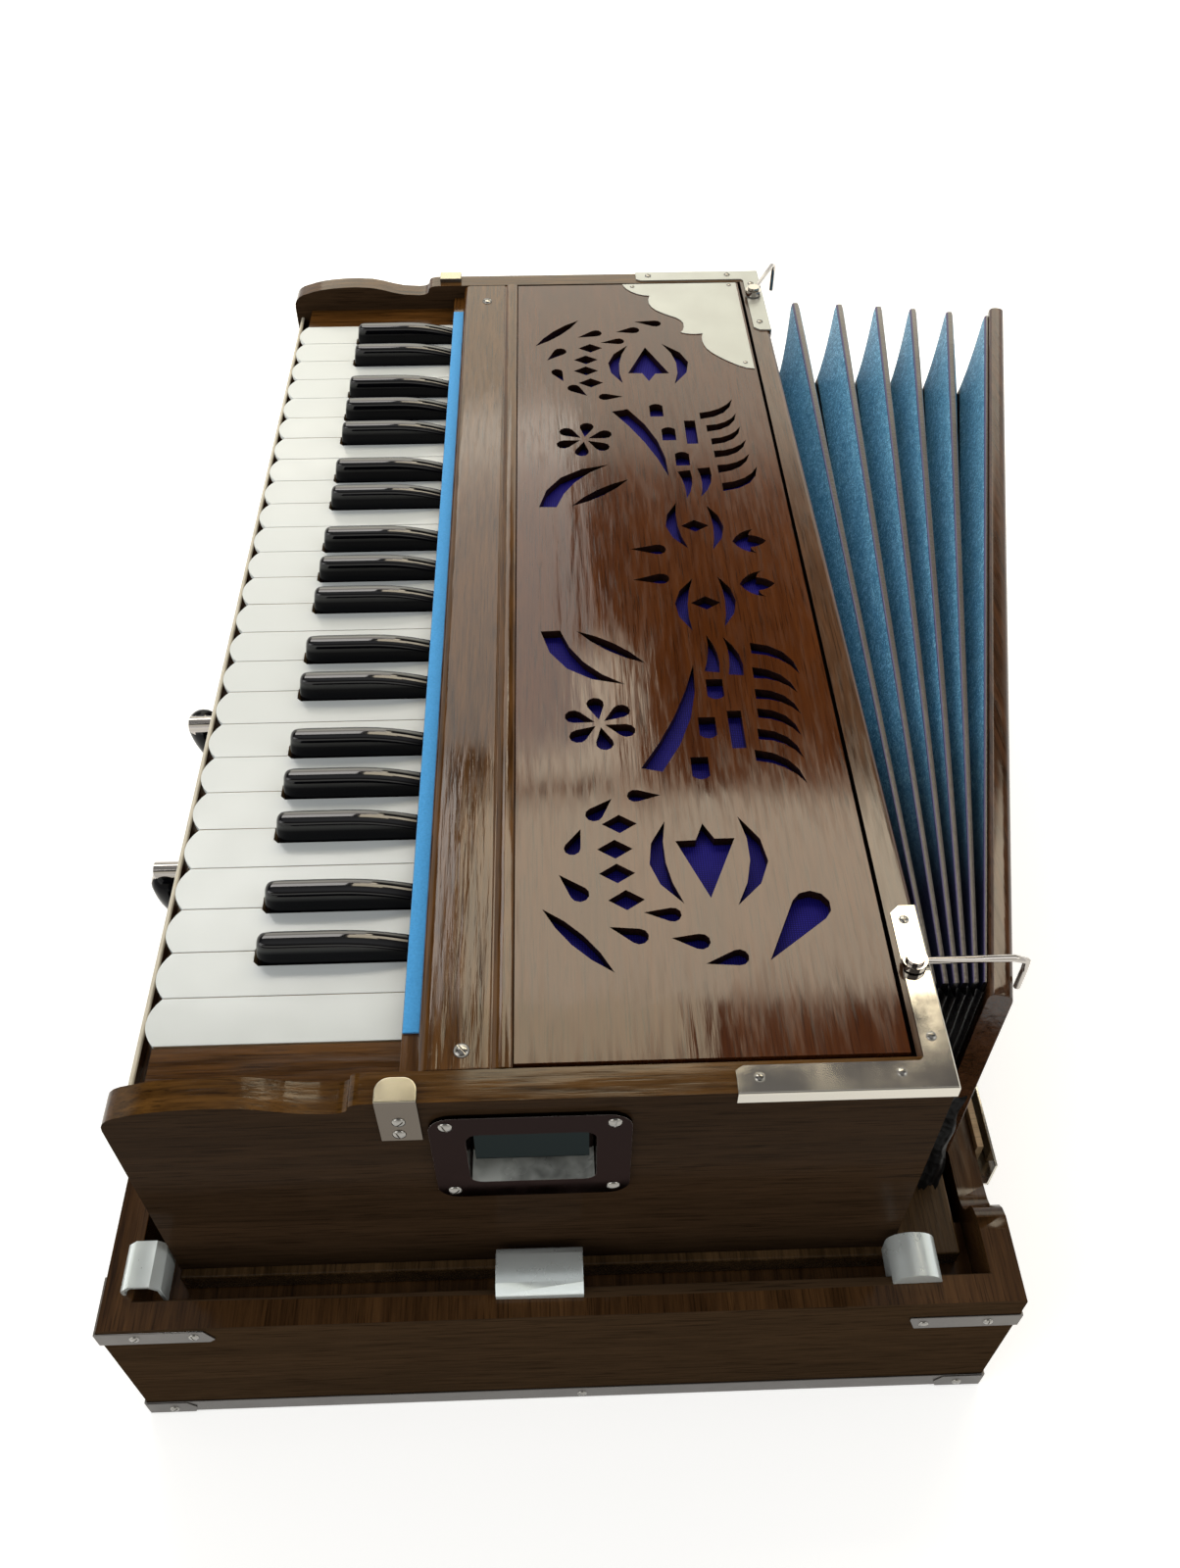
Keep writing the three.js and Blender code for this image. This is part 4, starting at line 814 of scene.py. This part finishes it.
def screws(name, out, places, size):
    made = []
    towards = Vector(out).to_track_quat("Z", "Y").to_matrix().to_4x4()
    for number, place in enumerate(places):
        screw = new_object(name, head.data.copy())
        turn = Matrix.Rotation(0.7 + 1.3 * number, 4, "Z")
        screw.data.transform(Matrix.Translation(Vector(place) * mm) @ towards @ turn
                             @ Matrix.Scale(size, 4))
        made.append(screw)
    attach(joined(made), "case")


handle_face, handle_y, handle_z, screw_y, screw_z = 312.7, -11, 184.3, 31.5, 26
strip_top = 226
for side, out in (("near", 1), ("far", -1)):
    screws(side + "_handle_screws", (out, 0, 0),
           [(out * handle_face, handle_y + a * screw_y, handle_z + b * screw_z)
            for a in (-1, 1) for b in (-1, 1)], 0.95)
screws("strip_screws", (0, 0, 1), [(290, -36, strip_top), (-276, -37, strip_top)], 1.05)


# Straps and foot strips: thin aluminium on the tray's end walls, cut on the skew, screwed on and
# bent round the corners, with a smaller piece over each foot corner.
def sheet_cut(name, outline, thick, turn, place, coat):
    bpy.ops.object.select_all(action="DESELECT")
    bpy.ops.mesh.primitive_circle_add(vertices=len(outline), fill_type="NGON")
    made = bpy.context.active_object
    made.name = name
    for point, (u, v) in zip(made.data.vertices, outline):
        point.co = (u * mm, v * mm, 0)
    bpy.ops.object.mode_set(mode="EDIT")
    bpy.ops.mesh.select_all(action="SELECT")
    bpy.ops.mesh.extrude_region_move(TRANSFORM_OT_translate={"value": (0, 0, thick * mm)})
    bpy.ops.mesh.select_all(action="SELECT")
    bpy.ops.mesh.normals_make_consistent(inside=False)
    bpy.ops.object.mode_set(mode="OBJECT")
    made.data.transform(Matrix.Translation(Vector(place) * mm) @ turn)
    painted(made, coat)
    return made


def fold_down(piece, shift, wanted):
    picked(piece, "FACE", lambda face: wanted(face.calc_center_median() / mm, face.normal))
    bpy.ops.mesh.extrude_region_move(TRANSFORM_OT_translate={"value": [d * mm for d in shift]})
    bpy.ops.object.mode_set(mode="OBJECT")


def upright(out):
    return Matrix(((0, 0, out, 0), (1, 0, 0, 0), (0, 1, 0, 0), (0, 0, 0, 1)))


strap_metal = metal("aluminium_strap", (0.20, 0.19, 0.18), 0.25, 0.42, 0.12, edge=(0.6, 0.6, 0.6))
strap_thick, strap_wrap, corner_thick = 0.8, 24, 0.6
wall_face, wall_end, strap_top, corner_top = 342.55, 195.05, 343.3, 343.9
strap_end = wall_end + strap_thick
strap_outlines = {
    "front_strap": [(-strap_end, 87), (-149.5, 87), (-147, 89.5), (-150.5, 98), (-strap_end, 98)],
    "rear_strap": [(150.5, 74.8), (strap_end, 74.8), (strap_end, 86.1), (147.3, 86.1), (147.3, 84)],
    "foot_strip": [(-strap_end, 0.3), (strap_end, 0.3), (strap_end, 12), (-strap_end, 12)]}
strap_ends = {"front_strap": (-1,), "rear_strap": (1,), "foot_strip": (-1, 1)}
corner_outline = [(195.2, 0.5), (174, 0.5), (172.6, 6), (176.5, 12), (195.2, 12)]
strap_screws = [(-179.7, 93.3), (-155.1, 93.3), (153.8, 80.0), (181.7, 80.4), (6.7, 5.6)]
corner_screws = [(-183, 5.6), (183.5, 5.6)]
for side, out in (("near", 1), ("far", -1)):
    straps = []
    for name, outline in strap_outlines.items():
        strap = sheet_cut(side + "_" + name, outline, strap_thick, upright(out),
                          (out * wall_face, 0, 0), strap_metal)
        for end in strap_ends[name]:
            scored(strap, (0, end * wall_end, 0), (0, 1, 0))
            fold_down(strap, (-out * strap_wrap, 0, 0),
                      lambda c, n: c.y * end > wall_end + 0.05 and n.x * out < -0.5)
        straps.append(strap)
    corner_face = out * (wall_face + strap_thick)
    for end in (-1, 1):
        straps.append(sheet_cut(side + "_foot_corner", [(end * y, z) for y, z in corner_outline],
                                corner_thick, upright(out), (corner_face, 0, 0), strap_metal))
    for strap in straps:
        eased(strap, width=0.25 * mm, least=0.5 * mm)
        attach(strap, "case")
    screws(side + "_strap_screws", (out, 0, 0), [(out * strap_top, *at) for at in strap_screws],
           0.75)
    screws(side + "_corner_screws", (out, 0, 0), [(out * corner_top, *at) for at in corner_screws],
           0.75)

# Latch tabs: plated sheet screwed to the outside of each cheek and bent over its top, where it
# ends in a rounded tongue. The faces that look up are painted in a lighter copy of the plate, a
# painted highlight, and the rest in a darker copy, painted shade.
tab_shade_side = metal("tab_shade_side", (0.17, 0.15, 0.13), 0.12, 0.24, rubbed=0, edge=(0.6, 0.56, 0.5))
tab_highlight_top = metal("tab_highlight_top", (0.46, 0.42, 0.31), 0.12, 0.24, rubbed=0)
tab_low, tab_high, tab_bend, tab_reach, tab_face, tab_thick = 199.5, 228.8, 226.1, 9.4, 311.05, 0.9
tab_top, tongue_from, tongue_round, bend_round = 311.9, 302, 5.5 * mm, 1.1 * mm
latch_screws = [(0, 213.7), (-0.6, 204.6)]


def at_tongue(edge):
    a, b = (point.co / mm for point in edge.verts)
    return abs(a.x) < tongue_from and abs(a.z - b.z) > 0.5


def at_tab_bend(edge):
    return min(point.co.z / mm for point in edge.verts) > tab_high - 0.1


for side, out, front, back in (("near", 1, -67, -51.5), ("far", -1, -69, -55)):
    tab = sheet_cut(side + "_latch_tab", [(front, tab_low), (back, tab_low), (back, tab_high),
                                          (front, tab_high)],
                    tab_thick, upright(out), (out * tab_face, 0, 0), tab_shade_side)
    scored(tab, (0, 0, tab_bend), (0, 0, 1))
    fold_down(tab, (-out * tab_reach, 0, 0), lambda c, n: c.z > tab_bend + 0.1 and n.x * out < -0.5)
    bevelled(tab, tongue_round, 8, at_tongue)
    bevelled(tab, bend_round, 4, at_tab_bend)
    eased(tab, width=0.25 * mm, least=0.8 * mm)
    painted(tab, tab_highlight_top)
    # Up-facing faces take the lighter copy as a painted highlight; the others keep the darker one as
    # painted shade.
    repaint(tab, 1, lambda c, n: n.z > 0.5)
    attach(tab, "case")
    middle = (front + back) / 2
    screws(side + "_latch_screws", (out, 0, 0),
           [(out * tab_top, middle + y, z) for y, z in latch_screws], 0.9)

# Corner guards: sheet screwed on the back rail's corners, plated on the near one and plain
# aluminium on the far one, each bent down over the outside of the cheek and the back board.
bright_plate = metal("nickel_plate", (0.60, 0.57, 0.50), 0.04, 0.16)
sheet_metal = metal("aluminium_sheet", (0.42, 0.43, 0.41), 0.28, 0.42, 0.12, metallic=0.85)
guard_side, guard_back, guard_foot, guard_thick, guard_drop = 311.05, 145.45, 226.05, 0.8, 5.5
guard_out, guard_rear, guard_top = 311.9, 146.3, 226.8


def at_guard_bend(edge):
    a, b = (point.co / mm for point in edge.verts)
    outside = min(abs(a.x), abs(b.x)) > guard_out - 0.1 or min(a.y, b.y) > guard_rear - 0.1
    return outside and min(a.z, b.z) > guard_top


for side, out, cheek_end, rail_end, coat in (("near", 1, 65, 229, bright_plate),
                                             ("far", -1, 63, 232.4, sheet_metal)):
    outline = [(out * x, y) for x, y in (
        (300, cheek_end + 3), (302, cheek_end), (guard_out, cheek_end), (guard_out, guard_rear),
        (rail_end, guard_rear), (rail_end, 139), (rail_end + 3.5, 135.2), (298.5, 135.2),
        (300, 133.7))]
    guard = sheet_cut(side + "_corner_guard", outline, guard_thick, Matrix(), (0, 0, guard_foot), coat)
    scored(guard, (out * guard_side, 0, 0), (1, 0, 0))
    scored(guard, (0, guard_back, 0), (0, 1, 0))
    fold_down(guard, (0, 0, -guard_drop), lambda c, n: n.z < -0.5 and (
        abs(c.x) > guard_side + 0.05 or c.y > guard_back + 0.05))
    bevelled(guard, bend_round, 4, at_guard_bend)
    eased(guard, width=0.25 * mm, least=0.8 * mm)
    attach(guard, "case")
guard_screws = {
    "near": [(305.2, 73.4), (304.8, 125.9), (236, 140), (290, 139.8)],
    "far": [(-306.2, 71.4), (-306.5, 125.1), (-293.6, 139.8), (-242.4, 139.8)]}
for side, places in guard_screws.items():
    screws(side + "_guard_screws", (0, 0, 1), [(x, y, guard_top) for x, y in places], 0.7)

# Scalloped plate: bright aluminium sheet pinned over the far corner of the cut-work panel. Its
# inner edge is cut by hand to a row of uneven waves.
scallops = [(-185.6, 129.9), (-186.8, 125.0), (-190, 120.0), (-194.5, 114.8), (-200, 109.6),
            (-205, 105.6), (-210, 102.7), (-215, 101.1), (-220, 100.4), (-225, 100.6),
            (-229.2, 101.4), (-228.6, 97.5), (-228.9, 93.5), (-229.8, 90.2), (-231.2, 87.6),
            (-234, 89.2), (-238, 90.2), (-243, 90.1), (-246.5, 88.8), (-250, 85.9),
            (-253, 81.6), (-256.5, 77.2), (-260, 73.6), (-264.5, 70.9), (-269, 69.6),
            (-274, 69.4), (-279.5, 70.6), (-280.2, 66.5), (-282.2, 62.4), (-285.3, 58.8),
            (-289, 56.0), (-292.5, 54.3), (-295.8, 53.4), (-295.8, 129.9)]
scallop_foot, scallop_thick = 226.03, 0.5
scalloped = sheet_cut("scalloped_plate", scallops[::-1], scallop_thick, Matrix(),
                      (0, 0, scallop_foot), sheet_metal)
eased(scalloped, width=0.15 * mm, least=0.3 * mm, steps=1, sharp=60)
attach(scalloped, "case")
pin_top = 226.5
screws("scalloped_plate_pins", (0, 0, 1),
       [(-193, 125, pin_top), (-292.5, 125, pin_top), (-292, 60, pin_top)], 0.5)
bpy.data.objects.remove(head)

# Keeper: a plated strip on a small wooden block, screwed to the outside of the tray's back wall.
# Its lower edge is bent in towards the wall.
behind = Matrix(((1, 0, 0, 0), (0, 0, 1, 0), (0, 1, 0, 0), (0, 0, 0, 1)))
keeper_block_outline = [(212, 68), (264, 68), (264, 83), (212, 83)]
keeper_outline = [(208, 66), (275, 66), (275, 85.5), (208, 85.5)]
keeper_block_thick, keeper_block_y = 3.2, 195.1
keeper_thick, keeper_y, keeper_bend, keeper_turn = 1.3, 200.4, 67.5, 5.2
keeper_block = sheet_cut("tray_keeper_block", keeper_block_outline, keeper_block_thick, behind,
                         (0, keeper_block_y, 0), lever_wood)
eased(keeper_block, width=0.4 * mm, least=0.5 * mm)
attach(keeper_block, "case")
keeper = sheet_cut("tray_keeper", keeper_outline, keeper_thick, behind, (0, keeper_y, 0),
                   bright_plate)
scored(keeper, (0, 0, keeper_bend), (0, 0, 1))
fold_down(keeper, (0, -keeper_turn, 0), lambda c, n: c.z < keeper_bend and n.y < -0.5)
eased(keeper, width=0.35 * mm, least=0.5 * mm)
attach(keeper, "case")

# Leather curtain: soft black hide gathered between the case and the board, closing the hinge end
# of the bellows. It is glued to both and bulges at the top.
curtain_columns, curtain_rows = 72, 40
curtain_x, curtain_y, curtain_wide = 261.8, 145.9, 24.0
curtain_low, curtain_high, hide_height = 91, 213, 124.5
gathers, gather_deep, top_bulge, bulge_from, sag, sway = 13, 1.7, 0.5, 0.9, 1.2, 0.3
curtain = grid("leather_curtain", curtain_columns, curtain_rows)
for point in curtain.data.vertices:
    across, up = point.co.x + 0.5, point.co.y + 0.5
    edges_in = math.sin(across * math.pi)
    bulge = 1 + top_bulge * max(0, (up - bulge_from) / 0.1) + 0.12 * math.sin(up * 19 + across * 5)
    gather = gather_deep * bulge * math.sin(across * gathers * math.pi) * edges_in ** 0.3
    lift = sag * math.sin(across * gathers / 2 * math.pi) * up
    point.co = (mm * (curtain_x + gather),
                mm * (curtain_y + curtain_wide * across + sway * math.sin(up * 11) * edges_in),
                mm * (curtain_low + (curtain_high - curtain_low) * up + lift))
painted(curtain, leather("gathered_hide", (0.003, 0.003, 0.004), (0.010, 0.010, 0.011), 500, 0.22,
                         0.4))


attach(curtain, "case")

# Leather flap: a loose torn tail of the same hide, hanging from the foot of the board's heel. It
# curls outwards as it falls, and its lower edge is ragged.
flap_columns, flap_rows = 10, 44
flap_x, flap_y, flap_top, flap_wide, flap_drop, flap_curl = 267.3, 167.5, 143, 9.5, 52, 19
flap = grid("leather_flap", flap_columns, flap_rows)
for point in flap.data.vertices:
    across, down = point.co.x + 0.5, 0.5 - point.co.y
    if down > 0.99:
        down += 0.03 * math.sin(across * 9) + 0.02 * math.sin(across * 23)
    point.co = (mm * (flap_x + flap_curl * down ** 1.5 + 0.8 * math.sin(across * 7 + down * 5)),
                mm * (flap_y + flap_wide * across - 6 * down + 0.7 * math.sin(down * 17)),
                mm * (flap_top - flap_drop * down))
painted(flap, leather("torn_hide", (0.002, 0.002, 0.002), (0.008, 0.007, 0.007), 300, 0.3, 0.5,
                      specular=0.15))
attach(flap, "bellows_board")
